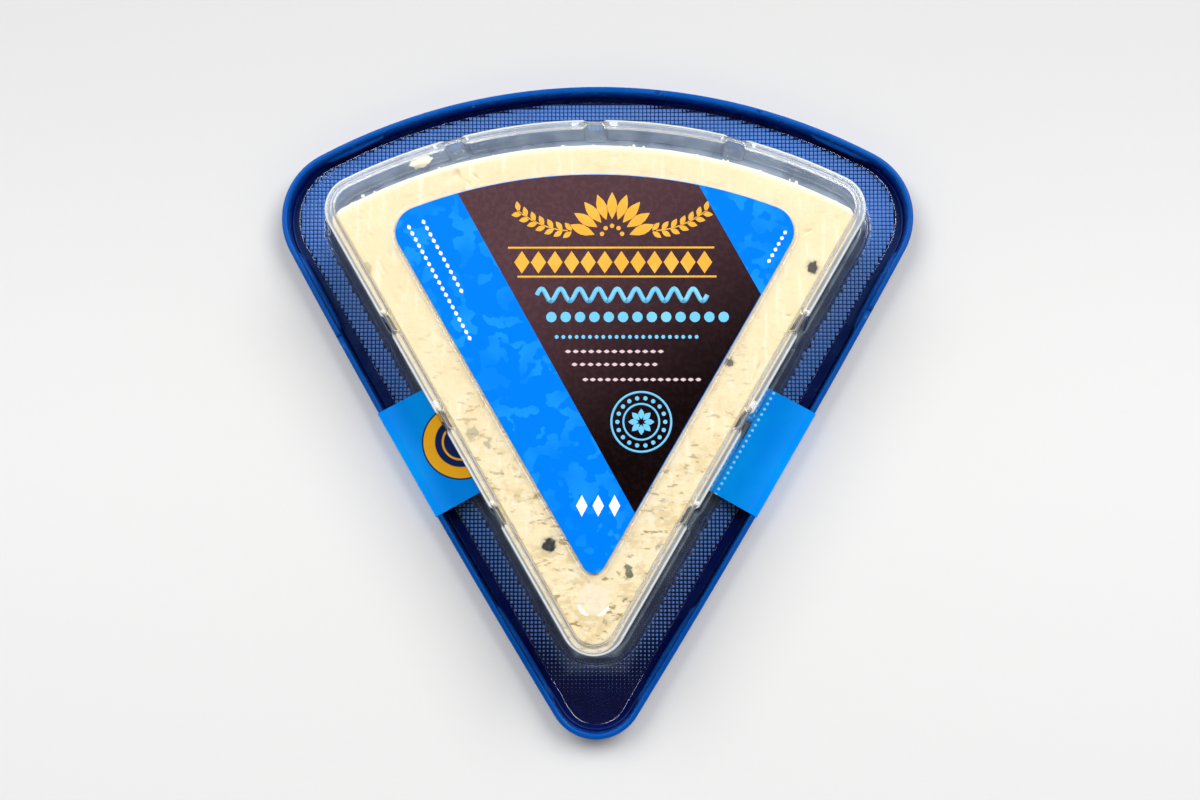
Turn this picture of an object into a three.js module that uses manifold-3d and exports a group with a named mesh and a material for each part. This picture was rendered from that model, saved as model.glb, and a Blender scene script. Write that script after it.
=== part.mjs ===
// A wedge of blue cheese in its closed retail pack: a clear thermoformed tray, dome upwards, sealed below
// with film and snapped into a shallow blue lid that is its base. A label lies on the dome and a printed
// wrap runs from one side of the dome, round the rim and under the base, to the other side.
// Millimetres, +Z up, arc of the wedge towards +Y. Every outline is a sector about the centre of the
// cheese wheel that the wedge was cut from, so all outlines share one half-angle and one centre.
import * as THREE from 'three';
import { mergeVertices } from 'three/addons/utils/BufferGeometryUtils.js';
import Module from 'manifold-3d';

// ---- Driving dimensions ---------------------------------------------------------------------------
const HALF_ANGLE = THREE.MathUtils.degToRad(30); // six wedges to a wheel
const FLAT = 20000; // radius of a side that counts as straight

// Outlines in plan. sideOffset is how far a side's middle lies outside the radius it runs along.
const SIDE_MIDDLE = 54; // distance of a side's middle from the centre
const RIM = { arcRadius: 116.2, sideOffset: 11.2, sideRadius: 2000, cornerRadius: 14, tipRadius: 9.3 };
const FLANGE = { arcRadius: 113.8, sideOffset: 7.7, sideRadius: FLAT, cornerRadius: 11.5, tipRadius: 6.2 };
const DOME = { arcRadius: 105.1, sideOffset: 0.25, sideRadius: FLAT, cornerRadius: 6.1, tipRadius: 6 };
const LABEL = { arcRadius: 94.5, sideOffset: -9.2, sideRadius: FLAT, cornerRadius: 4.8, tipRadius: 2.2 };
const CHEESE = { arcRadius: 100, sideOffset: -2.15, sideRadius: FLAT, cornerRadius: 1.6, tipRadius: 3.8 };

// Heights
const LID_SHOULDER = 1; // the lid's underside is this much higher outside its flat foot
const LID_FLOOR = 1.4;
const RIM_TOP = 6;
const FILM_BOTTOM = 1.6;
const FILM_TOP = 1.85;
const FLANGE_BOTTOM = 2.05;
const SHEET = 0.45; // wall of the clear tray
const FLANGE_TOP = FLANGE_BOTTOM + SHEET;
const FOOT_STEP = 0.9; // low step in the flange round the dome
const LEDGE_TOP = 24.8;
const PANEL_TOP = 26.6;
const RECESS_DEPTH = 0.3; // the label lies this much below the panel round it
const CHEESE_BOTTOM = 2.05;
const CHEESE_TOP = 25.5;
const LABEL_BOTTOM = 26.45;
const LABEL_TOP = 26.7;

// Lid
const FOOT_INSET = 4.4;
const RIM_WALL = 1.1;
const WRAP_CHANNEL = 0.62; // depth of the shallow channel in the foot where the wrap passes
const BEAD_REACH = 1.35; // how far a snap bead stands out from the rim's inner wall
const BEAD_BOTTOM = 3.1;
const BEAD_TOP = 4.6;

// Flutes that run down the dome's wall
const SIDE_FLUTES = [35.8, 56, 76.8]; // distance from the centre along a side
const ARC_FLUTE_ANGLE = THREE.MathUtils.degToRad(14.65);
const FLUTE_HALF = 1.5;
const FLUTE_RAMP = 0.8;
const FLUTE_DEPTH = 0.6;

// Wrap
const WRAP_FROM = 42.6; // distances from the centre
const WRAP_TO = 65.8;
const WRAP_THICKNESS = 0.25;
const WRAP_CLEARANCE = 0.3;

// Dimple in the dome's panel between the label and the tip
const DIMPLE_Y = 15.9;
const DIMPLE_RADIUS = 3;
const DIMPLE_DEPTH = 0.25;

// Cheese surface
const PIT_COUNT = 70;
const PIT_SEED = 11;

const wasm = await Module();
wasm.setup();

// ---- Outlines -------------------------------------------------------------------------------------
const ALONG = new THREE.Vector2(Math.sin(HALF_ANGLE), Math.cos(HALF_ANGLE)); // the right side's direction
const OUTWARD = new THREE.Vector2(Math.cos(HALF_ANGLE), -Math.sin(HALF_ANGLE)); // and its normal

// The circles that make an outline: each side is an arc of a very large circle, and each rounding touches
// its two neighbours from inside, so an outline offset by d has the same centres and radii larger by d.
function outlineCircles(spec) {
  const side = ALONG.clone().multiplyScalar(SIDE_MIDDLE)
    .addScaledVector(OUTWARD, spec.sideOffset - spec.sideRadius);
  const toTip = spec.sideRadius - spec.tipRadius;
  const tip = new THREE.Vector2(0, side.y - Math.sign(side.y) * Math.sqrt(toTip ** 2 - side.x ** 2));
  const fromCentre = spec.arcRadius - spec.cornerRadius;
  const fromSide = spec.sideRadius - spec.cornerRadius;
  const apart = side.length();
  const foot = (apart ** 2 + fromCentre ** 2 - fromSide ** 2) / (2 * apart);
  const height = Math.sqrt(fromCentre ** 2 - foot ** 2);
  const towards = side.clone().divideScalar(apart);
  const across = new THREE.Vector2(-towards.y, towards.x);
  const corners = [1, -1]
    .map((sign) => towards.clone().multiplyScalar(foot).addScaledVector(across, sign * height));
  const corner = corners[0].x > corners[1].x ? corners[0] : corners[1];
  return { side, tip, corner };
}

function blend(from, to, steps) {
  return Array.from({ length: steps + 1 }, (_, i) => from + ((to - from) * i) / steps);
}

function pointOn(centre, radius, angle, flute = 0) {
  const nx = Math.cos(angle);
  const ny = Math.sin(angle);
  return { x: centre.x + radius * nx, y: centre.y + radius * ny, nx, ny, flute };
}

// Stations along a side (distances) and along the arc (angles from the middle), each with its flute weight
function fluteStations(places, half, ramp) {
  return places.flatMap((place) => [
    { at: place - half - ramp, flute: 0 },
    { at: place - half, flute: 1 },
    { at: place + half, flute: 1 },
    { at: place + half + ramp, flute: 0 },
  ]);
}

const toAngle = (length) => length / DOME.arcRadius;
const FLUTED = {
  side: fluteStations(SIDE_FLUTES, FLUTE_HALF, FLUTE_RAMP),
  arc: [
    ...fluteStations([0], toAngle(FLUTE_HALF), toAngle(FLUTE_RAMP)).filter((s) => s.at > 0),
    ...[0.33, 0.66].map((part) => ({ at: part * ARC_FLUTE_ANGLE, flute: 0 })),
    ...fluteStations([ARC_FLUTE_ANGLE], toAngle(FLUTE_HALF), toAngle(FLUTE_RAMP)),
    { at: 1.36 * ARC_FLUTE_ANGLE, flute: 0 },
  ],
  middleFlute: 1,
  tipSteps: 6,
  cornerSteps: 8,
};
const PLAIN = {
  side: [20, 40, 60, 80].map((at) => ({ at, flute: 0 })),
  arc: [2.5, 5, 7.5, 10, 12.5, 15, 17.5, 20].map((at) => ({ at: THREE.MathUtils.degToRad(at), flute: 0 })),
  middleFlute: 0,
  tipSteps: 7,
  cornerSteps: 8,
};

// Points of an outline, anticlockwise from the middle of the tip, with outward normals
function outline(spec, stations) {
  const { side, tip, corner } = outlineCircles(spec);
  const angleOf = (v) => Math.atan2(v.y, v.x);
  const tipEnd = angleOf(tip.clone().sub(side));
  const cornerStart = angleOf(corner.clone().sub(side));
  const cornerEnd = angleOf(corner);
  const half = [];
  blend(-Math.PI / 2, tipEnd, stations.tipSteps).forEach((a) => half.push(pointOn(tip, spec.tipRadius, a)));
  const sideTurn = angleOf(ALONG);
  stations.side.forEach(({ at, flute }) => {
    const angle = sideTurn - Math.acos((at - side.dot(ALONG)) / spec.sideRadius);
    half.push(pointOn(side, spec.sideRadius, angle, flute));
  });
  blend(cornerStart, cornerEnd, stations.cornerSteps)
    .forEach((a) => half.push(pointOn(corner, spec.cornerRadius, a)));
  const centre = new THREE.Vector2(0, 0);
  [...stations.arc].sort((a, b) => b.at - a.at)
    .forEach(({ at, flute }) => half.push(pointOn(centre, spec.arcRadius, Math.PI / 2 - at, flute)));
  const top = pointOn(centre, spec.arcRadius, Math.PI / 2, stations.middleFlute);
  const mirrored = half.slice(1).reverse().map((p) => ({ ...p, x: -p.x, nx: -p.nx }));
  return [...half, top, ...mirrored];
}

// A closed ring at one height: the outline moved outwards by offset, and by the flute's own shift at a flute
function ring(points, offset, z, fluteOffset = 0, fluteLift = 0) {
  return points.map((p) => {
    const d = offset + p.flute * fluteOffset;
    return new THREE.Vector3(p.x + p.nx * d, p.y + p.ny * d, z + p.flute * fluteLift);
  });
}

// ---- Solids ---------------------------------------------------------------------------------------
function signedVolume(vertices, triangles) {
  return triangles.reduce((sum, [a, b, c]) => {
    const cross = new THREE.Vector3().crossVectors(vertices[b], vertices[c]);
    return sum + vertices[a].dot(cross) / 6;
  }, 0);
}

function solidFrom(vertices, triangles) {
  const outwards = signedVolume(vertices, triangles) > 0;
  const index = triangles.flatMap(([a, b, c]) => (outwards ? [a, b, c] : [a, c, b]));
  const geometry = new THREE.BufferGeometry().setFromPoints(vertices);
  geometry.setIndex(index);
  return geometry;
}

// A closed solid through rings of equal length. Each end is closed by a fan about the ring's middle.
function loft(rings) {
  const count = rings[0].length;
  const vertices = rings.flat();
  const triangles = [];
  for (let r = 0; r + 1 < rings.length; r += 1) {
    for (let i = 0; i < count; i += 1) {
      const j = (i + 1) % count;
      const [a, b, c, d] = [r * count + i, r * count + j, (r + 1) * count + j, (r + 1) * count + i];
      triangles.push([a, b, c], [a, c, d]);
    }
  }
  const last = rings.length - 1;
  [[0, true], [last, false]].forEach(([at, reversed]) => {
    const end = rings[at];
    const first = at * count;
    const middle = end.reduce((sum, p) => sum.add(p), new THREE.Vector3()).divideScalar(count);
    vertices.push(middle);
    for (let i = 0; i < count; i += 1) {
      const [a, b] = [first + i, first + ((i + 1) % count)];
      triangles.push(reversed ? [vertices.length - 1, b, a] : [vertices.length - 1, a, b]);
    }
  });
  return solidFrom(vertices, triangles);
}

function toManifold(geometry) {
  const bare = geometry.clone();
  bare.deleteAttribute('normal');
  bare.deleteAttribute('uv');
  const merged = mergeVertices(bare);
  return new wasm.Manifold(new wasm.Mesh({
    numProp: 3,
    vertProperties: Float32Array.from(merged.attributes.position.array),
    triVerts: Uint32Array.from(merged.index.array),
  }));
}

function fromManifold(solid) {
  const mesh = solid.getMesh();
  const geometry = new THREE.BufferGeometry();
  geometry.setAttribute('position', new THREE.BufferAttribute(mesh.vertProperties, 3));
  geometry.setIndex(new THREE.BufferAttribute(mesh.triVerts, 1));
  return geometry;
}

// ---- Lid: flat foot, raised shoulder and a rim that stands round the tray's flange -----------------
function lidShell() {
  const rim = outline(RIM, PLAIN);
  return loft([
    ring(rim, -FOOT_INSET, 0),
    ring(rim, -FOOT_INSET + 1, LID_SHOULDER - 0.1),
    ring(rim, -1.3, LID_SHOULDER),
    ring(rim, -0.35, 1.5),
    ring(rim, 0, 2.4),
    ring(rim, 0, RIM_TOP - 0.55),
    ring(rim, -0.16, RIM_TOP - 0.16),
    ring(rim, -RIM_WALL / 2, RIM_TOP),
    ring(rim, -RIM_WALL + 0.16, RIM_TOP - 0.16),
    ring(rim, -RIM_WALL, RIM_TOP - 0.55),
    ring(rim, -RIM_WALL - 0.2, LID_FLOOR + 0.5),
    ring(rim, -RIM_WALL - 0.7, LID_FLOOR),
  ]);
}

// A snap bead: a ridge on the rim's inner wall that follows it and tapers away at both ends
function snapBead(points) {
  const inner = -RIM_WALL - 0.1;
  const section = [
    [0.35, BEAD_BOTTOM - 0.2],
    [-BEAD_REACH, BEAD_BOTTOM + 0.5],
    [-BEAD_REACH, BEAD_BOTTOM + 0.9],
    [0.35, BEAD_TOP],
  ];
  return loft(points.map((p, i) => {
    const fade = Math.sin((Math.PI * (i + 0.35)) / (points.length - 0.3));
    const grown = Math.min(1, 0.15 + 1.6 * fade);
    return section.map(([reach, z]) => {
      const d = inner + (reach < 0 ? reach * grown : reach);
      return new THREE.Vector3(p.x + p.nx * d, p.y + p.ny * d, z);
    });
  }));
}

function beadPaths() {
  const steps = 8;
  const spread = (from, to) => blend(from, to, steps).map((at) => ({ at, flute: 0 }));
  const sidePath = (from, to) => {
    const stations = { side: spread(from, to), arc: [], middleFlute: 0, tipSteps: 1, cornerSteps: 1 };
    return outline(RIM, stations).slice(2, 2 + steps + 1);
  };
  const centre = new THREE.Vector2(0, 0);
  const arcPath = (from, to) => spread(from, to)
    .map(({ at }) => pointOn(centre, RIM.arcRadius, Math.PI / 2 - THREE.MathUtils.degToRad(at)));
  const right = [sidePath(2, 26), sidePath(84, 103), arcPath(20.5, 27.5)];
  const left = right.map((path) => path.map((p) => ({ ...p, x: -p.x, nx: -p.nx })));
  return [...right, ...left];
}

// The channel under the foot that leaves room for the wrap: part of a flat ring about the centre
function wrapChannel() {
  const shape = new THREE.Shape();
  shape.absarc(0, 0, WRAP_TO + 0.5, Math.PI / 6, (5 * Math.PI) / 6, false);
  shape.absarc(0, 0, WRAP_FROM - 0.7, (5 * Math.PI) / 6, Math.PI / 6, true);
  shape.closePath();
  const options = { depth: WRAP_CHANNEL + 1, bevelEnabled: false, curveSegments: 16 };
  const geometry = new THREE.ExtrudeGeometry(shape, options);
  return geometry.translate(0, 0, -1);
}

function lidGeometry() {
  const beaded = beadPaths()
    .reduce((solid, path) => solid.add(toManifold(snapBead(path))), toManifold(lidShell()));
  return fromManifold(beaded.subtract(toManifold(wrapChannel())));
}

// ---- Sealing film between the tray's flange and the lid ---------------------------------------------
function filmGeometry() {
  const edge = outline(FLANGE, PLAIN);
  return loft([ring(edge, -0.2, FILM_BOTTOM), ring(edge, -0.2, FILM_TOP)]);
}

// ---- Clear tray: one sheet with flange, fluted wall, ledge, panel and label recess -------------------
function trayGeometry() {
  const dome = outline(DOME, FLUTED);
  const flange = outline(FLANGE, FLUTED);
  const label = outline(LABEL, FLUTED);
  const stepTop = FLANGE_TOP + FOOT_STEP;
  const inside = [
    ring(label, 1, PANEL_TOP - RECESS_DEPTH - SHEET),
    ring(label, 1.6, PANEL_TOP - SHEET),
    ring(dome, -2.4, PANEL_TOP - SHEET, 0.75),
    ring(dome, -2.2, PANEL_TOP - SHEET - 0.25, 0.75, 0.1),
    ring(dome, -2, LEDGE_TOP - SHEET, 0.75, 1.3),
    ring(dome, -0.75, LEDGE_TOP - SHEET, -0.4, 1.2),
    ring(dome, -0.45, LEDGE_TOP - SHEET - 0.4, -FLUTE_DEPTH, 0.2),
    ring(dome, 0.7, stepTop, -FLUTE_DEPTH),
    ring(dome, 1, stepTop - SHEET, -FLUTE_DEPTH),
    ring(dome, 2.85, stepTop - SHEET, -0.3),
    ring(dome, 3.05, FLANGE_BOTTOM, -0.3),
  ];
  const outside = [
    ring(flange, 0, FLANGE_BOTTOM),
    ring(flange, 0, FLANGE_TOP),
    ring(dome, 3.5, FLANGE_TOP, -0.3),
    ring(dome, 3.3, stepTop, -0.3),
    ring(dome, 1.45, stepTop, -FLUTE_DEPTH),
    ring(dome, 1.15, stepTop + 0.3, -FLUTE_DEPTH),
    ring(dome, 0.05, LEDGE_TOP - 0.4, -FLUTE_DEPTH, 0.2),
    ring(dome, -0.2, LEDGE_TOP, -0.45, 1.3),
    ring(dome, -1.55, LEDGE_TOP, 0.65, 1.4),
    ring(dome, -1.75, PANEL_TOP - 0.25, 0.75, 0.1),
    ring(dome, -2, PANEL_TOP, 0.75),
    ring(label, 1.6, PANEL_TOP),
    ring(label, 1, PANEL_TOP - RECESS_DEPTH),
  ];
  const profile = [0, 0.35, 0.7, 1].map((part) => new THREE.Vector2(
    part * DIMPLE_RADIUS,
    -DIMPLE_DEPTH * (1 - part ** 2),
  ));
  const cutter = new THREE.LatheGeometry(
    [...profile, new THREE.Vector2(DIMPLE_RADIUS, 1), new THREE.Vector2(0, 1)],
    24,
  );
  cutter.rotateX(Math.PI / 2).translate(0, DIMPLE_Y, PANEL_TOP);
  return fromManifold(toManifold(loft([...inside, ...outside])).subtract(toManifold(cutter)));
}

// ---- Cheese: a cut wedge with open holes where the mould grew ---------------------------------------
function seededRandom(seed) {
  let state = seed;
  return () => {
    state = (state * 1664525 + 1013904223) % 4294967296;
    return state / 4294967296;
  };
}

function pitField() {
  const random = seededRandom(PIT_SEED);
  return Array.from({ length: PIT_COUNT }, () => {
    const angle = (random() * 2 - 1) * HALF_ANGLE;
    const distance = CHEESE.arcRadius * Math.sqrt(0.04 + 0.96 * random());
    const z = Math.min(CHEESE_TOP, THREE.MathUtils.lerp(CHEESE_BOTTOM, CHEESE_TOP, random() * 1.25));
    return {
      place: new THREE.Vector3(distance * Math.sin(angle), distance * Math.cos(angle), z),
      radius: 1 + 2.2 * random(),
      depth: 0.25 + 0.5 * random(),
    };
  });
}

function cheeseGeometry() {
  const stations = {
    side: Array.from({ length: 23 }, (_, i) => ({ at: 14 + i * 3.6, flute: 0 })),
    arc: Array.from({ length: 11 }, (_, i) => ({ at: THREE.MathUtils.degToRad(2.3 * (i + 1)), flute: 0 })),
    middleFlute: 0,
    tipSteps: 4,
    cornerSteps: 3,
  };
  const cut = outline(CHEESE, stations);
  const pits = pitField();
  const middle = new THREE.Vector3(0, 62, (CHEESE_BOTTOM + CHEESE_TOP) / 2);
  const relief = (points, wallInset) => points.map((point) => {
    const wave = 0.12 * Math.sin(point.x * 0.31 + point.z * 0.7) * Math.sin(point.y * 0.23 - point.z * 0.5);
    const pit = pits.reduce((sum, { place, radius, depth }) => (
      sum + depth * Math.exp(-point.distanceToSquared(place) / (radius * radius))), 0);
    const inwards = middle.clone().sub(point);
    if (wallInset) inwards.setZ(0);
    else inwards.set(0, 0, -1);
    return point.clone().addScaledVector(inwards.normalize(), Math.max(0, 0.12 + wave) + Math.min(pit, 0.8));
  });
  const levels = blend(CHEESE_BOTTOM + 0.7, CHEESE_TOP - 0.5, 7);
  const edge = ring(cut, -0.4, CHEESE_TOP);
  const shrunk = (share) => edge
    .map((p) => new THREE.Vector3(p.x * share, middle.y + (p.y - middle.y) * share, p.z));
  return loft([
    ring(cut, -0.6, CHEESE_BOTTOM),
    ...levels.map((z) => relief(ring(cut, 0, z), true)),
    ...[1, 0.94, 0.86, 0.76, 0.64, 0.5, 0.34, 0.16].map((share) => relief(shrunk(share), false)),
  ]);
}

// ---- Label on the dome --------------------------------------------------------------------------------
function labelGeometry() {
  const edge = outline(LABEL, PLAIN);
  return loft([ring(edge, 0, LABEL_BOTTOM), ring(edge, 0, LABEL_TOP)]);
}

// ---- Wrap: a curved strip from the dome's foot, over and round the rim, and under the base -------------
// A station of its path: reach is the distance outside the radius that the side runs along, and angle is
// the polar angle of the strip where it lies under the base.
function wrapGeometry() {
  const edge = RIM.sideOffset + WRAP_CLEARANCE;
  const under = WRAP_CHANNEL - WRAP_CLEARANCE;
  const sideProfile = [
    [1.75, FLANGE_TOP + FOOT_STEP + WRAP_CLEARANCE],
    [6, 5.05],
    [RIM.sideOffset - RIM_WALL, RIM_TOP + WRAP_CLEARANCE - 0.02],
    [RIM.sideOffset - 0.25, RIM_TOP + WRAP_CLEARANCE],
    [edge - 0.05, RIM_TOP - 0.15],
    [edge, RIM_TOP - 0.7],
    [edge, 2.3],
    [edge - 0.5, 1.2],
    [edge - 1.6, LID_SHOULDER - WRAP_CLEARANCE],
    [8.6, LID_SHOULDER - WRAP_CLEARANCE - 0.05],
    [7, under],
  ];
  const strip = (point) => [WRAP_FROM, WRAP_TO].map(point);
  const section = (inner, outer, normal) => {
    const [a, b] = [inner, outer].map((p) => p.clone());
    const lift = normal.clone().multiplyScalar(WRAP_THICKNESS);
    return [a, b, b.clone().add(lift), a.clone().add(lift)];
  };
  const sideSections = sideProfile.map(([reach, z], i) => {
    const before = sideProfile[Math.max(0, i - 1)];
    const after = sideProfile[Math.min(sideProfile.length - 1, i + 1)];
    const [run, rise] = [after[0] - before[0], after[1] - before[1]];
    const length = Math.hypot(run, rise);
    const normal = new THREE.Vector3(-rise / length * OUTWARD.x, -rise / length * OUTWARD.y, run / length);
    const [inner, outer] = strip((distance) => new THREE.Vector3(
      ALONG.x * distance + OUTWARD.x * reach,
      ALONG.y * distance + OUTWARD.y * reach,
      z,
    ));
    return section(inner, outer, normal);
  });
  const arcSections = Array.from({ length: 13 }, (_, i) => {
    const angle = THREE.MathUtils.lerp(HALF_ANGLE, -HALF_ANGLE, i / 12);
    const [inner, outer] = strip((distance) => new THREE.Vector3(
      Math.sin(angle) * distance,
      Math.cos(angle) * distance,
      under,
    ));
    return section(inner, outer, new THREE.Vector3(0, 0, -1));
  });
  const mirrored = [...sideSections].reverse()
    .map((corners) => corners.map((p) => new THREE.Vector3(-p.x, p.y, p.z)));
  return loft([...sideSections, ...arcSections, ...mirrored]);
}

// ---- The pack -------------------------------------------------------------------------------------------
const surface = (color, roughness, opacity = 1) => new THREE.MeshStandardMaterial({
  color, roughness, metalness: 0, opacity, transparent: opacity < 1,
});
const materials = {
  lid: surface(0x0a3fae, 0.3),
  film: surface(0xc9d3dc, 0.2, 0.3),
  tray: surface(0xe8eef2, 0.08, 0.25),
  cheese: surface(0xf6e6bb, 0.6),
  label: surface(0x0a80ee, 0.4),
  wrap: surface(0x0583f2, 0.4),
};

const shapes = {
  lid: lidGeometry,
  film: filmGeometry,
  tray: trayGeometry,
  cheese: cheeseGeometry,
  label: labelGeometry,
  wrap: wrapGeometry,
};

const pack = new THREE.Group();
Object.entries(shapes).forEach(([name, build]) => {
  const mesh = new THREE.Mesh(build(), materials[name]);
  mesh.name = name;
  pack.add(mesh);
});

// The origin is the middle of the pack's box in plan, on the surface it stands on.
const lidBox = new THREE.Box3().setFromObject(pack.getObjectByName('lid'));
pack.position.y = -(lidBox.min.y + lidBox.max.y) / 2;

export default pack;
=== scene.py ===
# %% [markdown]
# # A wedge of blue cheese in its closed retail pack
#
# The pack is five pieces of plastic and one of food. A shallow blue lid is snapped on from below and is the
# base. A clear tray stands on it, dome upwards, closed underneath by a film. The wedge of cheese fills the
# dome. A label lies in a recess on top, and a printed strip wraps the lid from one side to the other.
#
# Every piece follows a rounded sector of the cheese wheel. So one outline function serves them all, and a
# loft through rings of that outline makes each solid. Sizes are millimetres until a mesh is made.

import math

import bmesh
import bpy
import numpy as np
from mathutils import Matrix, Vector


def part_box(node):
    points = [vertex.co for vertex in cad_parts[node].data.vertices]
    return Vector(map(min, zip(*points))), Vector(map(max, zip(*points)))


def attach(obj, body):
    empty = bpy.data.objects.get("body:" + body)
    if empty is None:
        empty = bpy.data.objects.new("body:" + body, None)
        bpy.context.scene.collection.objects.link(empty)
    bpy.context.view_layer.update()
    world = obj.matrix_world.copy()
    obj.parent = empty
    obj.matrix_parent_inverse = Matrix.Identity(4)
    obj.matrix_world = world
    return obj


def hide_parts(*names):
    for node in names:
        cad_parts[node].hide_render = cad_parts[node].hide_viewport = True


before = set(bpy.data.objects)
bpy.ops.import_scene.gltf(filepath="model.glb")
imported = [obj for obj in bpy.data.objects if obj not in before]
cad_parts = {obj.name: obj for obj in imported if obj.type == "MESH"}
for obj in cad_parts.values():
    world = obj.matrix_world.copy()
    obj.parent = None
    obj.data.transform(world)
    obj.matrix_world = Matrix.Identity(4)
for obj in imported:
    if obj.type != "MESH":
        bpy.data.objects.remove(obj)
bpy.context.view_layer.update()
MM = 0.001
print("solids:", sorted(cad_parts))

# %% [markdown]
# ## Small helpers
#
# A shader or a node tree is easier to read when one call adds a node with its settings and its links.
# Colours are written as the hex values that a colour picker shows, which are sRGB, so one function turns
# them into the linear numbers that a renderer adds and multiplies.
#
# Four nodes come back all the time. Noise has a Scale of one over the size of its blobs in millimetres. Map
# Range with SMOOTHSTEP cuts a soft-edged share out of it. Mix, set to RGBA, lays one colour over another:
# its input 0 is the share, and 6 and 7 are the two colours, because each kind of data has inputs of its own.
# Bump turns a noise into a relief, and its Distance is the height of the tallest part.

# %% Colours and nodes


def linear(hex_colour):
    """The linear RGBA of an sRGB hex colour."""
    parts = [int(hex_colour[i : i + 2], 16) / 255 for i in (1, 3, 5)]
    bent = [c / 12.92 if c <= 0.04045 else ((c + 0.055) / 1.055) ** 2.4 for c in parts]
    return (*bent, 1.0)


def add(tree, kind, values=None, **settings):
    """Adds a node. A value is a plain one for that input, a socket to link from, or a node, of which the
    first output in use is linked."""
    node = tree.nodes.new(kind)
    for name, setting in settings.items():
        setattr(node, name, setting)
    for key, value in (values or {}).items():
        if isinstance(value, bpy.types.Node):
            value = next(socket for socket in value.outputs if socket.enabled)
        if isinstance(value, bpy.types.NodeSocket):
            tree.links.new(value, node.inputs[key])
        else:
            node.inputs[key].default_value = value
    return node


def new_material(name):
    """An empty material with its tree and its output node."""
    made = bpy.data.materials.new(name)
    made.use_nodes = True
    made.node_tree.nodes.clear()
    return made, made.node_tree, add(made.node_tree, "ShaderNodeOutputMaterial")


def millimetres(tree):
    """Object coordinates in millimetres, so that a texture's scale is one over its real size."""
    place = add(tree, "ShaderNodeTexCoord").outputs["Object"]
    return add(tree, "ShaderNodeVectorMath", {0: place, "Scale": 1 / MM}, operation="SCALE")


# %% [markdown]
# ## The outlines
#
# The wedge was cut from a 20 cm wheel in six, so each outline is a 60 degree sector about the wheel's
# centre. An outline has an arc, two sides and three roundings. A side counts as an arc of a very large
# circle, which lets the rim's sides bow out a little. Because everything is an arc, each point knows its
# own normal, and an outline can be moved in or out by an exact distance.

# %% Driving sizes of the outlines
HALF_ANGLE = math.radians(30)
ALONG = np.array([math.sin(HALF_ANGLE), math.cos(HALF_ANGLE)])
OUTWARD = np.array([math.cos(HALF_ANGLE), -math.sin(HALF_ANGLE)])
SIDE_MIDDLE = 54.0  # a side bows out most at this distance from the wheel's centre
FLAT = 20000.0

# Each outline has the radius of its arc, how far its side lies outside the cut, the radius to which the side
# bows, and the radii of its corners and its tip.
RIM = {"arc": 116.2, "side": 11.2, "bow": 2000.0, "corner": 14.0, "tip": 9.3}
FLANGE = {"arc": 113.8, "side": 7.7, "bow": FLAT, "corner": 11.5, "tip": 6.2}
DOME = {"arc": 105.1, "side": 0.25, "bow": FLAT, "corner": 6.1, "tip": 6.0}
LABEL = {"arc": 94.5, "side": -9.2, "bow": FLAT, "corner": 4.8, "tip": 2.2}
CHEESE = {"arc": 100.35, "side": -1.6, "bow": FLAT, "corner": 1.6, "tip": 4.15}
CHEESE_BODY = {"arc": 100.35, "side": -0.2, "bow": FLAT, "corner": 2.2, "tip": 5.3}

# The wall's flutes: their places along a side and on the arc, half their width and the ramp beside it.
SIDE_FLUTES = (35.8, 56.0, 76.8)
ARC_FLUTES = (0.0, math.radians(14.65))
FLUTE_HALF = 1.5
FLUTE_RAMP = 0.8

# The frame's origin is the middle of the rim's box, so the wheel's centre lies behind it on Y.
wheel_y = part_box("lid")[1].y / MM - RIM["arc"]
print(f"the wheel's centre is at y = {wheel_y:.2f} mm")

# %% Places seen from the wheel's centre, for the materials


def from_wheel_centre(tree, place):
    """The level vector from the wheel's axis to this place, in millimetres."""
    moved = add(tree, "ShaderNodeVectorMath", {0: place, 1: (0, wheel_y, 0)}, operation="SUBTRACT")
    return add(tree, "ShaderNodeVectorMath", {0: moved, 1: (1, 1, 0)}, operation="MULTIPLY")


# %% Circles, stations and points of an outline


def angle_of(vector):
    """The angle of a flat vector from the X axis."""
    return math.atan2(vector[1], vector[0])


def circles(spec):
    """Centres of the right side's circle, the tip's rounding and the corner's rounding."""
    side = ALONG * SIDE_MIDDLE + OUTWARD * (spec["side"] - spec["bow"])
    to_tip = spec["bow"] - spec["tip"]
    tip = np.array([0.0, side[1] - math.copysign(math.sqrt(to_tip**2 - side[0] ** 2), side[1])])
    apart = np.hypot(*side)
    from_centre = spec["arc"] - spec["corner"]
    from_side = spec["bow"] - spec["corner"]
    foot = (apart**2 + from_centre**2 - from_side**2) / (2 * apart)
    height = math.sqrt(from_centre**2 - foot**2)
    towards = side / apart
    across = np.array([-towards[1], towards[0]])
    corner = max((towards * foot + across * height * s for s in (1, -1)), key=lambda p: p[0])
    return side, tip, corner


def flute_weight(distance):
    """1 inside a flute, 0 outside it, with a smooth ramp between."""
    share = np.clip(1 - (np.abs(distance) - FLUTE_HALF) / FLUTE_RAMP, 0, 1)
    return share * share * (3 - 2 * share)


def dense_stations(first, last, gap, places, reach):
    """Stations every gap from first to last, and closer together about each place."""
    close = [np.linspace(p - reach, p + reach, 15) for p in places]
    merged = np.unique(np.concatenate([np.arange(first, last, gap), *close]))
    merged = merged[(merged >= first) & (merged <= last)]
    keep = np.concatenate([[True], np.diff(merged) > 0.05 * gap])
    return merged[keep]


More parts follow.
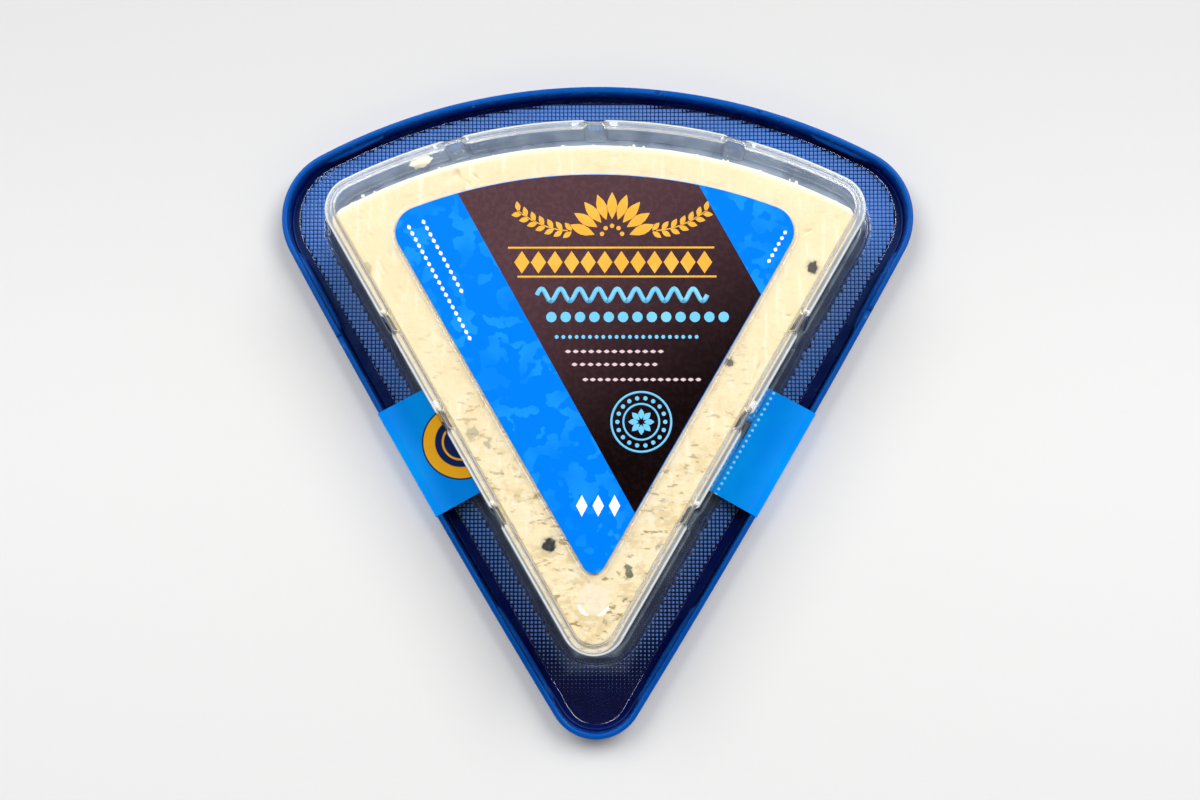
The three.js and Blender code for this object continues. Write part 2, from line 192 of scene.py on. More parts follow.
FLUTED_FROM, FLUTED_TO = 32.0, 80.5
FLUTED_ANGLE = math.radians(17)
SIDE_STATIONS = dense_stations(FLUTED_FROM, FLUTED_TO, 2.4, SIDE_FLUTES, FLUTE_HALF + FLUTE_RAMP)
ANGLE_REACH = (FLUTE_HALF + FLUTE_RAMP) / DOME["arc"]
ARC_STATIONS = dense_stations(0.0, FLUTED_ANGLE, math.radians(1.3), ARC_FLUTES, ANGLE_REACH)


def outline(spec):
    """Rows of x, y, nx, ny and flute weight, anticlockwise from the middle of the tip."""
    side, tip, corner = circles(spec)
    rows = []

    def arc_rows(centre, radius, angles, weights=0.0):
        normals = np.stack([np.cos(angles), np.sin(angles)], 1)
        points = centre + radius * normals
        rows.append(np.column_stack([points, normals, np.broadcast_to(weights, len(angles))]))

    tip_end, corner_start, corner_end = angle_of(tip - side), angle_of(corner - side), angle_of(corner)
    arc_rows(tip, spec["tip"], np.linspace(-math.pi / 2, tip_end, 15))
    near = np.linspace(tip @ ALONG, FLUTED_FROM, 16)[1:-1]
    far = np.linspace(FLUTED_TO, corner @ ALONG, 8)[1:-1]
    at = np.concatenate([near, SIDE_STATIONS, far])
    nearest = np.min(np.abs(at[:, None] - np.array(SIDE_FLUTES)), axis=1)
    angles = angle_of(ALONG) - np.arccos((at - side @ ALONG) / spec["bow"])
    arc_rows(side, spec["bow"], angles, flute_weight(nearest))
    arc_rows(corner, spec["corner"], np.linspace(corner_start, corner_end, 17))
    spare = np.linspace(math.pi / 2 - corner_end, FLUTED_ANGLE, 7)[1:-1]
    bearings = np.concatenate([spare, ARC_STATIONS[::-1]])
    nearest = np.min(np.abs(bearings[:, None] - np.array(ARC_FLUTES)), axis=1) * DOME["arc"]
    arc_rows(np.zeros(2), spec["arc"], math.pi / 2 - bearings, flute_weight(nearest))
    half = np.concatenate(rows)
    mirrored = half[1:-1][::-1] * np.array([-1, 1, -1, 1, 1])
    return np.concatenate([half, mirrored])


def ring(points, offset, z, flute_offset=0.0, flute_lift=0.0):
    """A closed ring of the outline, moved out by offset, and by the flute's own shift at a flute."""
    weight = points[:, 4]
    moved = points[:, :2] + points[:, 2:4] * (offset + weight * flute_offset)[:, None]
    return np.column_stack([moved, z + weight * flute_lift])


print("points in one outline:", len(outline(DOME)))

# %% [markdown]
# ## From a profile to a solid
#
# A sharp corner never shows in moulded plastic: each edge has a small radius, and that radius catches the
# light as a thin line. So each profile is drawn with its corners and a function rounds them. A row just
# outside each rounding keeps the flat faces flat when the mesh is shaded smooth.

# %% Rounded profiles


def rounded(profile, radius, steps=5, hold=0.1):
    """The profile with each inner corner rounded. The first two numbers of a row are its distances."""
    profile = np.array(profile, float)
    rows = [profile[:1]]
    for before, corner, after in zip(profile, profile[1:], profile[2:]):
        back, ahead = before - corner, after - corner
        long_back, long_ahead = np.hypot(*back[:2]), np.hypot(*ahead[:2])
        cut = min(radius, 0.4 * long_back, 0.4 * long_ahead)
        start, end = corner + back * cut / long_back, corner + ahead * cut / long_ahead
        t = np.linspace(0, 1, steps + 1)[:, None]
        curve = start * (1 - t) ** 2 + 2 * corner * t * (1 - t) + end * t**2
        guard_back = start + back / long_back * min(hold, 0.05 * long_back)
        guard_ahead = end + ahead / long_ahead * min(hold, 0.05 * long_ahead)
        rows += [guard_back[None], curve, guard_ahead[None]]
    return np.concatenate([*rows, profile[-1:]])


def rings_of(points, profile):
    """One ring of the outline for each row of the profile."""
    return [ring(points, *row) for row in profile]


# %% Lofts and mesh objects


def new_object(name, vertices, faces, material, smooth=True):
    """A mesh object at the origin, from vertices in millimetres about the wheel's centre."""
    placed = (np.array(vertices, float) + np.array([0, wheel_y, 0])) * MM
    mesh = bpy.data.meshes.new(name)
    mesh.from_pydata(placed.tolist(), [], faces)
    mesh.materials.append(material)
    mesh.polygons.foreach_set("use_smooth", [smooth] * len(mesh.polygons))
    mesh.update()
    made = bpy.data.objects.new(name, mesh)
    bpy.context.scene.collection.objects.link(made)
    return made


def loft(rings, first_cap=True, last_cap=True):
    """Vertices and faces of a solid through rings of equal length, closed by a fan at each end."""
    count = len(rings[0])
    vertices = [p for one in rings for p in one]
    i = np.arange(count)
    j = (i + 1) % count
    faces = []
    for r in range(len(rings) - 1):
        low, high = r * count, (r + 1) * count
        faces += np.stack([low + i, low + j, high + j, high + i], 1).tolist()
    ends = [(0, True)] * first_cap + [(len(rings) - 1, False)] * last_cap
    for at, reverse in ends:
        vertices.append(rings[at].mean(0))
        middle = np.full(count, len(vertices) - 1)
        a, b = at * count + i, at * count + j
        faces += np.stack([middle, b, a] if reverse else [middle, a, b], 1).tolist()
    return vertices, faces


# %% Faces that point outwards, and modifiers made mesh


def signed_volume(made):
    """The volume of a closed mesh, which is below zero when its faces point inwards."""
    mesh = made.data
    mesh.calc_loop_triangles()
    co = np.array([v.co for v in mesh.vertices])
    tri = np.array([t.vertices for t in mesh.loop_triangles])
    return float(np.einsum("ij,ij->i", co[tri[:, 0]], np.cross(co[tri[:, 1]], co[tri[:, 2]])).sum() / 6)


def point_outwards(made):
    """Turns each island's faces outwards, for a mesh of several closed islands."""
    work = bmesh.new()
    work.from_mesh(made.data)
    bmesh.ops.recalc_face_normals(work, faces=work.faces)
    work.to_mesh(made.data)
    work.free()


def face_outwards(made):
    """Turns the faces of a single closed shell outwards."""
    if signed_volume(made) < 0:
        made.data.flip_normals()
    return made


def evaluated_mesh(made):
    """Replaces an object's mesh by the result of its modifiers, and removes them."""
    graph = bpy.context.evaluated_depsgraph_get()
    result = bpy.data.meshes.new_from_object(made.evaluated_get(graph))
    made.modifiers.clear()
    made.data = result
    return made


# %% [markdown]
# ## Geometry Nodes from Python
#
# A node tree is a recipe that can be run again with other sizes. This helper makes a tree with named
# inputs and a modifier that uses it. A modifier stores an input under the socket's identifier, so the
# names are looked up once, before the object is evaluated for the first time.

# %% A tree with named inputs, and a modifier with its values


def geometry_tree(name, inputs):
    """A tree with a geometry in and out, and inputs given as name: socket type."""
    tree = bpy.data.node_groups.new(name, "GeometryNodeTree")
    tree.interface.new_socket("Geometry", in_out="INPUT", socket_type="NodeSocketGeometry")
    tree.interface.new_socket("Geometry", in_out="OUTPUT", socket_type="NodeSocketGeometry")
    for label, kind in inputs.items():
        tree.interface.new_socket(label, in_out="INPUT", socket_type=kind)
    return tree, tree.nodes.new("NodeGroupInput").outputs, tree.nodes.new("NodeGroupOutput")


def run_tree(made, tree, values):
    """Runs a tree on an object with these values, and keeps the result as its mesh."""
    modifier = made.modifiers.new(tree.name, "NODES")
    modifier.node_group = tree
    identifiers = {i.name: i.identifier for i in tree.interface.items_tree if i.in_out == "INPUT"}
    for label, value in values.items():
        modifier[identifiers[label]] = value
    return evaluated_mesh(made)


# %% [markdown]
# ## Camera
#
# The photo was taken from straight above, a little off the middle, with a normal lens from about 37 cm.
# That places the camera over a point near the right side of the tip and tilts it 4.6 degrees, which is
# why the dome leans outwards in the picture.

# %% Camera at the photo's viewing angle
CAMERA_OVER = (7.55, 25.81)  # from the wheel's centre
CAMERA_HEIGHT = 370.0
CAMERA_FORWARD = np.array([-0.0187, 0.0773, -0.9968])
SENSOR_WIDTH = 36.0
LENS = 56.16


def add_camera():
    """Stands the camera where the photograph was taken, so that the two pictures can be laid together."""
    forward = CAMERA_FORWARD / np.linalg.norm(CAMERA_FORWARD)
    right = np.array([1.0, 0.0, 0.0])
    right -= forward * (right @ forward)
    right /= np.linalg.norm(right)
    up = np.cross(right, forward)
    data = bpy.data.cameras.new("camera")
    data.sensor_width = SENSOR_WIDTH
    data.lens = LENS
    data.clip_start = 0.01
    made = bpy.data.objects.new("camera", data)
    bpy.context.scene.collection.objects.link(made)
    x, y = CAMERA_OVER
    place = np.array([x, y + wheel_y, CAMERA_HEIGHT]) * MM
    rows = np.column_stack([right, up, -forward, place]).tolist()
    made.matrix_world = Matrix([*rows, [0, 0, 0, 1]])
    bpy.context.scene.camera = made
    return made


add_camera()
print(f"camera: {LENS} mm lens, {CAMERA_HEIGHT:.0f} mm above the table")

# %% [markdown]
# ## Blue plastic of the lid
#
# The lid is injection moulded polypropylene, dyed through. Polypropylene is a little waxy: its gloss is
# clear but soft, with a faint ripple from the mould. Its own colour is a saturated blue. On the inner faces
# below the rim's top, painted shade mixes in a navy by height and by the way a face points, darkest on the
# floor, so that the groove inside the rim and the base within it look deep in shade.

# %% Moulded polypropylene
LID_FLOOR = 1.4  # heights of the lid's floor and of its rim, which the colours follow too
RIM_TOP = 6.0


def moulded_polypropylene():
    """Glossy moulded blue plastic, with painted navy shade on the inside below the rim."""
    made, tree, output = new_material("moulded_polypropylene")
    place = millimetres(tree)

    # The plastic's own blue, in slow clouds of two blues.
    rim_colour_noise = add(tree, "ShaderNodeTexNoise", {"Vector": place, "Scale": 1 / 22})
    rim_colour = add(tree, "ShaderNodeMix", {
        0: rim_colour_noise, 6: linear("#00459A"), 7: linear("#004FA8"),
    }, data_type="RGBA")

    # An inner face has a normal that points back to the middle or straight up, so its dot product with the
    # place is small or below zero.
    normal = add(tree, "ShaderNodeNewGeometry").outputs["Normal"]
    level = add(tree, "ShaderNodeVectorMath", {0: place, 1: (1, 1, 0)}, operation="MULTIPLY")
    outwards = add(tree, "ShaderNodeVectorMath", {0: level, 1: normal}, operation="DOT_PRODUCT")
    z = add(tree, "ShaderNodeSeparateXYZ", {0: place}).outputs["Z"]
    faces_in = add(tree, "ShaderNodeMapRange", {
        "Value": outwards, "From Min": 0.0, "From Max": 6.0, "To Min": 1, "To Max": 0,
    }, interpolation_type="SMOOTHSTEP")
    below_rim = add(tree, "ShaderNodeMapRange", {
        "Value": z, "From Min": LID_FLOOR + 1.0, "From Max": RIM_TOP - 0.4, "To Min": 1, "To Max": 0,
    }, interpolation_type="SMOOTHSTEP")
    # Painted shade: the inner faces turn navy, darkest on the floor inside the rim.
    shade_lifts_off_floor = add(tree, "ShaderNodeMapRange", {
        "Value": z, "From Min": LID_FLOOR + 0.1, "From Max": LID_FLOOR + 1.0,
    }, interpolation_type="SMOOTHSTEP")
    painted_shade_colour = add(tree, "ShaderNodeMix", {
        0: shade_lifts_off_floor, 6: linear("#030C4C"), 7: linear("#001870"),
    }, data_type="RGBA")
    painted_shade_share = add(tree, "ShaderNodeMath", {0: faces_in, 1: below_rim}, operation="MULTIPLY")
    colour = add(tree, "ShaderNodeMix", {0: painted_shade_share, 6: rim_colour, 7: painted_shade_colour}, data_type="RGBA")
    roughness_noise = add(tree, "ShaderNodeTexNoise", {"Vector": place, "Scale": 1 / 6, "Detail": 3})
    roughness = add(tree, "ShaderNodeMapRange", {
        "Value": roughness_noise, "From Min": 0.3, "From Max": 0.7, "To Min": 0.2, "To Max": 0.34,
    }, interpolation_type="SMOOTHSTEP")
    relief_noise = add(tree, "ShaderNodeTexNoise", {"Vector": place, "Scale": 1 / 0.9})
    relief = add(tree, "ShaderNodeBump", {"Height": relief_noise, "Distance": 0.02 * MM, "Strength": 0.4})
    surface = add(tree, "ShaderNodeBsdfPrincipled", {
        "Base Color": colour,
        "Roughness": roughness,
        "IOR": 1.49,
        "Specular IOR Level": 0.32,
        "Specular Tint": linear("#88BCFF"),
        "Normal": relief,
    })
    tree.links.new(surface.outputs[0], output.inputs["Surface"])
    return made


lid_plastic = moulded_polypropylene()

# %% [markdown]
# ## Lid
#
# A flat foot, a raised shoulder and an upright rim: one profile swept round the rim's outline. A shallow
# channel crosses the foot so that the wrap doesn't lift the pack. Where the mould's inserts meet, the top of
# the rim has thin seams. Both are cut by one Boolean, whose cutter is a mesh of several closed islands. The
# cutter's faces must point outwards, or the Boolean would keep what it should take away.

# %% Lid: profile, channel and Boolean
LID_SHOULDER = 1.0
RIM_WALL = 1.1
FOOT_INSET = 4.4
WRAP_FROM = 42.6
WRAP_TO = 65.8
WRAP_CHANNEL = 0.62
CHANNEL_MARGIN = 0.7
WRAP_CLEARANCE = 0.08
WRAP_THICKNESS = 0.12
WRAP_UNDER = 0.32
SEAM = {"long": 2.2, "wide": 0.4, "deep": 0.4}
ARC_SEAMS = (6.0, 16.0)  # degrees
SIDE_SEAMS = {-1: 82.8, 1: 88.6}  # millimetres from the wheel's centre, on the left and on the right


def lid_profile():
    """From the foot, up the outside, over the rim and down to the floor: distance outside it, and height."""
    corners = [
        (-FOOT_INSET - 1, 0),
        (-FOOT_INSET, 0),
        (-FOOT_INSET + 1, LID_SHOULDER - 0.1),
        (-1.3, LID_SHOULDER),
        (0, 1.9),
        (0, RIM_TOP),
        (-RIM_WALL, RIM_TOP),
        (-RIM_WALL - 0.25, LID_FLOOR),
        (-RIM_WALL - 1.6, LID_FLOOR),
    ]
    return rounded(corners, 0.45)


def sector(inner, outer, low, high, steps=48):
    """A closed flat ring sector about the wheel's centre, as wide as the wedge."""
    angles = np.linspace(-HALF_ANGLE * 1.02, HALF_ANGLE * 1.02, steps)
    direction = np.column_stack([np.sin(angles), np.cos(angles)])
    edge = np.concatenate([direction * inner, direction[::-1] * outer])
    return loft([np.column_stack([edge, np.full(len(edge), z)]) for z in (low, high)])


def seam_boxes():
    """Small boxes across the top of the rim, where the mould's inserts meet."""
    middle = RIM_WALL / 2
    arcs = [np.array([math.sin(math.radians(a)), math.cos(math.radians(a))]) for a in ARC_SEAMS]
    places = [(outward * (RIM["arc"] - middle), outward) for outward in arcs]
    for sign, at in SIDE_SEAMS.items():
        mirror = np.array([sign, 1])
        places.append(((ALONG * at + OUTWARD * (RIM["side"] - middle)) * mirror, OUTWARD * mirror))
    boxes = []
    for place, outward in places:
        aside = np.array([-outward[1], outward[0]])
        square = [place + outward * SEAM["long"] / 2 * a + aside * SEAM["wide"] / 2 * b
                  for a, b in ((1, 1), (-1, 1), (-1, -1), (1, -1))]
        heights = (RIM_TOP - SEAM["deep"], RIM_TOP + 0.5)
        boxes.append(loft([np.column_stack([square, np.full(4, z)]) for z in heights]))
    return boxes


def merged(parts):
    """One list of vertices and one of faces from several."""
    vertices, faces = [], []
    for more_vertices, more_faces in parts:
        first = len(vertices)
        vertices += list(more_vertices)
        faces += [[first + i for i in face] for face in more_faces]
    return vertices, faces


def make_lid():
    """Lofts the shell and cuts the strip's channel and the mould seams into it."""
    made = new_object("lid_shell", *loft(rings_of(outline(RIM), lid_profile())), lid_plastic)
    face_outwards(made)
    channel = sector(WRAP_FROM - CHANNEL_MARGIN, WRAP_TO + 0.5, -1, WRAP_CHANNEL)
    cutter = new_object("channel_and_seams", *merged([channel, *seam_boxes()]), lid_plastic, smooth=False)
    point_outwards(cutter)
    cut = made.modifiers.new("channel", "BOOLEAN")
    cut.object = cutter
    cut.operation = "DIFFERENCE"
    cut.solver = "EXACT"
    evaluated_mesh(made)
    bpy.data.objects.remove(cutter)
    return made


lid = make_lid()
print("lid faces:", len(lid.data.polygons))

# %% [markdown]
# ## Snap beads
#
# Six ridges on the rim's inner wall hold the tray's flange down. A ridge follows the wall and fades out at
# its ends: a curve with a radius that rises and falls, swept into a tube that is half sunk in the wall.

# %% Snap beads, swept along the wall by Geometry Nodes
BEAD_HEIGHT = 3.85
BEAD_RADIUS = 0.8


def swept_ridge_tree():
    """Sweeps a small round section along each path and tapers it towards the ends."""
    tree, given, output = geometry_tree("swept_ridge", {
        "Radius": "NodeSocketFloat",
        "Material": "NodeSocketMaterial",
    })
    curve = add(tree, "GeometryNodeMeshToCurve", {"Mesh": given["Geometry"]})
    factor = add(tree, "GeometryNodeSplineParameter").outputs["Factor"]
    half_turn = add(tree, "ShaderNodeMath", {0: factor, 1: math.pi}, operation="MULTIPLY")
    rise = add(tree, "ShaderNodeMath", {0: half_turn}, operation="SINE")
    # A power below one keeps the ridge at nearly its full height, with short soft ends.
    steep = add(tree, "ShaderNodeMath", {0: rise, 1: 0.3}, operation="POWER")
    swell = add(tree, "ShaderNodeMath", {0: steep, 1: 0.05}, operation="MAXIMUM")
    thick = add(tree, "GeometryNodeSetCurveRadius", {"Curve": curve, "Radius": swell})
    section = add(tree, "GeometryNodeCurvePrimitiveCircle", {"Resolution": 12, "Radius": given["Radius"]})
    tube = add(tree, "GeometryNodeCurveToMesh", {
        "Curve": thick,
        "Profile Curve": section.outputs["Curve"],
        "Scale": swell,
        "Fill Caps": True,
    })
    smooth = add(tree, "GeometryNodeSetShadeSmooth", {"Geometry": tube.outputs["Mesh"]})
    real = add(tree, "GeometryNodeRealizeInstances", {"Geometry": smooth})
    painted = add(tree, "GeometryNodeSetMaterial", {"Geometry": real, "Material": given["Material"]})
    tree.links.new(painted.outputs[0], output.inputs[0])
    return tree


def bead_paths():
    """Paths just inside the inner wall: by the tip, by the corners and on the arc, on both sides."""
    inner = -RIM_WALL - 0.1
    side = circles(RIM)[0]

    def on_side(at):
        angle = angle_of(ALONG) - math.acos((at - side @ ALONG) / RIM["bow"])
        return side + (RIM["bow"] + inner) * np.array([math.cos(angle), math.sin(angle)])

    def on_arc(degrees):
        angle = math.radians(degrees)
        return (RIM["arc"] + inner) * np.array([math.sin(angle), math.cos(angle)])

    right = [
        [on_side(a) for a in np.linspace(0, 22, 30)],
        [on_side(a) for a in np.linspace(84, 102, 26)],
        [on_arc(a) for a in np.linspace(21.5, 28, 20)],
    ]
    return right + [[p * np.array([-1, 1]) for p in path] for path in right]


def make_beads():
    """Draws the paths as bare edges, which the tree turns into ridges."""
    vertices, edges = [], []
    for path in bead_paths():
        first = len(vertices)
        vertices += [[x * MM, (y + wheel_y) * MM, BEAD_HEIGHT * MM] for x, y in path]
        edges += [[first + i, first + i + 1] for i in range(len(path) - 1)]
    mesh = bpy.data.meshes.new("snap_beads")
    mesh.from_pydata(vertices, edges, [])
    made = bpy.data.objects.new("snap_beads", mesh)
    bpy.context.scene.collection.objects.link(made)
    return run_tree(made, swept_ridge_tree(), {"Radius": BEAD_RADIUS * MM, "Material": lid_plastic})


beads = make_beads()
print("bead faces:", len(beads.data.polygons))

# %% [markdown]
# ## Clear sheet of the tray
#
# The tray is thermoformed from clear APET sheet. A real refracting shader with a closed wall gives the
# dark and light lines along its folds. Light from the lamps would have to find its way through that wall
# by chance, so lamps and diffuse bounces pass straight through a Transparent shader instead, and only the
# camera and reflections see the glass.
#
# Sheet that is stretched over a mould turns a little milky where it bends most, along the ledge. A matt
# shader is mixed in there. The crisp pale line round the ledge's outer fold is a painted highlight in the
# same matt shader, whose normal points straight up so that it glows evenly from any side, where a true normal
# would turn a steep wall dark. An attribute marks the fold, so that the painted highlight follows it exactly.

# %% Thermoformed APET
LEDGE_TOP = 24.8  # height of the tray's ledge, which the haze follows too


def lets_light_through(tree, surface):
    """Mixes in Transparent for shadow rays and for rays from matt surfaces."""
    path = add(tree, "ShaderNodeLightPath").outputs
    kinds = {0: path["Is Shadow Ray"], 1: path["Is Diffuse Ray"]}
    either = add(tree, "ShaderNodeMath", kinds, operation="MAXIMUM")
    open_way = add(tree, "ShaderNodeBsdfTransparent", {"Color": linear("#FCFCFC")})
    return add(tree, "ShaderNodeMixShader", {0: either, 1: surface, 2: open_way})


def thermoformed_apet():
    """Clear sheet for the camera and reflections, ledge haze, a painted highlight on the fold, no shadow."""
    made, tree, output = new_material("thermoformed_apet")
    place = millimetres(tree)
    relief_noise = add(tree, "ShaderNodeTexNoise", {"Vector": place, "Scale": 1 / 5})
    relief = add(tree, "ShaderNodeBump", {"Height": relief_noise, "Distance": 0.03 * MM, "Strength": 0.5})
    glass = add(tree, "ShaderNodeBsdfPrincipled", {
        "Base Color": linear("#FFFFFF"),
        "Roughness": 0.03,
        "IOR": 1.57,
        "Transmission Weight": 1.0,
        "Normal": relief,
    })
    upwards = add(tree, "ShaderNodeCombineXYZ", {"Z": 1.0})
    haze = add(tree, "ShaderNodeBsdfDiffuse", {"Color": linear("#F0F4F4"), "Normal": upwards})
    facing = add(tree, "ShaderNodeLayerWeight", {"Blend": 0.5}).outputs["Facing"]
    z = add(tree, "ShaderNodeSeparateXYZ", {0: place}).outputs["Z"]

    # Walls seen edge-on, most of all near the top.
    turned_away = add(tree, "ShaderNodeMath", {0: facing, 1: 3.0}, operation="POWER")
    near_top = add(tree, "ShaderNodeMapRange", {
        "Value": z, "From Min": LEDGE_TOP - 4.8, "From Max": LEDGE_TOP - 0.8, "To Min": 0.02, "To Max": 0.14,
    }, interpolation_type="SMOOTHSTEP")
    edge_on = add(tree, "ShaderNodeMath", {0: turned_away, 1: near_top}, operation="MULTIPLY")

    # The ledge: above the wall and below the panel.
    above_wall = add(tree, "ShaderNodeMapRange", {
        "Value": z, "From Min": LEDGE_TOP - 1.6, "From Max": LEDGE_TOP - 0.9, "To Min": 0.0, "To Max": 0.11,
    }, interpolation_type="SMOOTHSTEP")
    below_panel = add(tree, "ShaderNodeMapRange", {
        "Value": z, "From Min": LEDGE_TOP + 0.2, "From Max": LEDGE_TOP + 0.8, "To Min": 1.0, "To Max": 0.0,
    }, interpolation_type="SMOOTHSTEP")
    ledge = add(tree, "ShaderNodeMath", {0: above_wall, 1: below_panel}, operation="MULTIPLY")

    # Painted highlight: a pale line along the ledge's outer fold, marked on the mesh.
    fold = add(tree, "ShaderNodeAttribute", attribute_name="fold").outputs["Fac"]
    soft_facing = add(tree, "ShaderNodeMath", {0: facing}, operation="SQRT")
    fold_highlight_strength = add(tree, "ShaderNodeMath", {0: soft_facing, 1: 0.8}, operation="MAXIMUM")
    painted_fold_highlight = add(tree, "ShaderNodeMath", {0: fold, 1: fold_highlight_strength}, operation="MULTIPLY")
    wide_haze = add(tree, "ShaderNodeMath", {0: edge_on, 1: ledge}, operation="ADD")
    share = add(tree, "ShaderNodeMath", {0: wide_haze, 1: painted_fold_highlight}, operation="MAXIMUM")
    surface = add(tree, "ShaderNodeMixShader", {0: share, 1: glass, 2: haze})
    mixed = lets_light_through(tree, surface)
    tree.links.new(mixed.outputs[0], output.inputs["Surface"])
    return made


clear_sheet = thermoformed_apet()

# %% [markdown]
# ## Tray
#
# One sheet with an outer and an inner skin: flange, a low step, the fluted wall, a ledge, the panel on top
# and the recess for the label. The flutes push the wall in and lift the ledge, so the ledge reads as a
# row of separate lanes. A shallow dimple sits between the label and the tip. The wall could be one skin with
# a Solidify modifier. Two skins are drawn instead, because a bend is rounder outside than inside.

# %% Tray: profiles of both skins
# A row is the distance outside the dome's outline, the height, and how far a flute shifts each of the two.
FLANGE_BOTTOM = 2.05
SHEET = 0.45
FLANGE_TOP = FLANGE_BOTTOM + SHEET
STEP_TOP = FLANGE_TOP + 0.9
PANEL_TOP = 26.6
RECESS = 0.3
DIMPLE = {"y": 15.9, "radius": 3.1, "depth": 0.22}
DIMPLE_SHOULDER = (0.78, 1.2)  # the slope starts and ends at these shares of the radius
PANEL_ROWS = 40
LEDGE_FOLD = slice(26, 31)  # the rows of the outer skin that round the ledge's outer edge


def outer_skin():
    """The outside of the dome's wall from the flange up to the panel, with rounded folds."""
    return rounded([
        (4.4, FLANGE_TOP, -0.3, 0),
        (3.5, FLANGE_TOP, -0.3, 0),
        (3.3, STEP_TOP, -0.3, 0),
        (1.3, STEP_TOP, -0.6, 0),
        (0.12, LEDGE_TOP, -0.6, 1.3),
        (-1.35, LEDGE_TOP, 0.65, 1.4),
        (-1.6, PANEL_TOP, 0.75, 0),
        (-2.5, PANEL_TOP, 0.75, 0),
    ], 0.45)


def inner_skin():
    """The same wall from inside, one sheet lower, from the panel down to the flange."""
    return rounded([
        (-2.6, PANEL_TOP - SHEET, 0.75, 0),
        (-1.85, PANEL_TOP - SHEET, 0.75, 0),
        (-1.55, LEDGE_TOP - SHEET, 0.75, 1.3),
        (-0.25, LEDGE_TOP - SHEET, -0.6, 1.2),
        (0.95, STEP_TOP - SHEET, -0.6, 0),
        (2.9, STEP_TOP - SHEET, -0.3, 0),
        (3.05, FLANGE_BOTTOM, -0.3, 0),
        (4.2, FLANGE_BOTTOM, -0.3, 0),
    ], 0.25)


def between(first, last, rows):
    """Rings that lead evenly from one ring to another, without the two ends."""
    return [first + (last - first) * s for s in np.linspace(0, 1, rows + 2)[1:-1]]


def press_dimple(rings):
    """Lowers the points inside the dimple, with a soft shoulder."""
    for one in rings:
        away = np.hypot(one[:, 0], one[:, 1] - DIMPLE["y"]) / DIMPLE["radius"]
        share = np.clip((DIMPLE_SHOULDER[1] - away) / (DIMPLE_SHOULDER[1] - DIMPLE_SHOULDER[0]), 0, 1)
        one[:, 2] -= DIMPLE["depth"] * share * share * (3 - 2 * share)
    return rings


def make_tray():
    """Joins the skins, the panel with its recess and the flange's edge in one closed loft."""
    dome, flange, label = outline(DOME), outline(FLANGE), outline(LABEL)
    recess = [(-0.4, PANEL_TOP - RECESS), (0.3, PANEL_TOP - RECESS), (0.65, PANEL_TOP), (1.4, PANEL_TOP)]
    recess_out = rings_of(label, rounded(recess, 0.13)[::-1])
    recess_in = rings_of(label, rounded([(a, z - SHEET) for a, z in recess], 0.13))
    inside, outside = rings_of(dome, inner_skin()), rings_of(dome, outer_skin())
    edge = rounded([(-1.5, FLANGE_BOTTOM), (0, FLANGE_BOTTOM), (0, FLANGE_TOP), (-1.5, FLANGE_TOP)], 0.15)
    top = press_dimple([outside[-1], *between(outside[-1], recess_out[0], PANEL_ROWS), recess_out[0]])
    under = press_dimple([recess_in[-1], *between(recess_in[-1], inside[0], PANEL_ROWS), inside[0]])
    inner_rings = [*recess_in[:-1], *under, *inside[1:]]
    outer_rings = [*outside[:-1], *top, *recess_out[1:]]
    rings = [*inner_rings, *rings_of(flange, edge), *outer_rings]
    made = face_outwards(new_object("clear_tray", *loft(rings), clear_sheet))

    # Marks the outer fold of the ledge, row by row, where the material paints its highlight.
    folded = {id(one) for one in outside[LEDGE_FOLD]}
    marks_of_rings = [[float(id(one) in folded)] * len(one) for one in rings]
    values = np.concatenate([*marks_of_rings, [0.0] * (len(made.data.vertices) - sum(map(len, rings)))])
    made.data.attributes.new("fold", "FLOAT", "POINT").data.foreach_set("value", values)
    return made


tray = make_tray()
print("tray faces:", len(tray.data.polygons))

# %% [markdown]
# ## Knurl on the flange
#
# The flange is pressed against a knurled tool when the film is sealed to it, which leaves a fine grid of
# pyramids, about 0.65 mm apart. Geometry Nodes lay a grid over the flange, keep the points that lie above
# it by casting a ray down, and put a pyramid on each. The tool presses less deep towards the tip, so the
# pyramids get smaller there, and the peel tab stays smooth. The ray also reads an attribute named room,
# which falls towards the flange's edge: smaller pyramids there let the pattern end in a curve, not in steps.

# %% Knurl material
KNURL_COVER = 0.52


def knurled_apet():
    """Pressed facets, pale blue and half opaque as a painted glint on each, with the rim showing through."""
    made, tree, output = new_material("knurled_apet")
    # Painted highlight: the clear facets are drawn pale blue and half opaque, so each pyramid shows as a
    # glint.
    painted_glint_facet = add(tree, "ShaderNodeBsdfPrincipled", {
        "Base Color": linear("#68A0F8"),
        "Roughness": 0.25,
        "IOR": 1.57,
        "Specular IOR Level": 0.3,
    })
    open_way = add(tree, "ShaderNodeBsdfTransparent", {"Color": linear("#FCFCFF")})
    mixed = add(tree, "ShaderNodeMixShader", {0: KNURL_COVER, 1: open_way, 2: painted_glint_facet})
    tree.links.new(mixed.outputs[0], output.inputs["Surface"])
    return made


# %% Knurl: a grid, a ray down onto the flange, a pyramid on each hit
KNURL_PITCH = 0.78  # 0.65 on the real pack; drawn coarser so that it survives at this picture size
KNURL_HEIGHT = 0.22
KNURL_REACH = 0.56  # from a pyramid's middle to its corner, as a share of the pitch
KNURL_SIZES = (0.7, 1.02)  # by the tab, and where the knurl is full
KNURL_FROM_Y = -3.3
FULL_KNURL_FROM_Y = 75.0
TAB_FADE = 12.0  # the pyramids grow from next to nothing over this distance
RAY_FROM = 2.0
RAY_LENGTH = 10.0


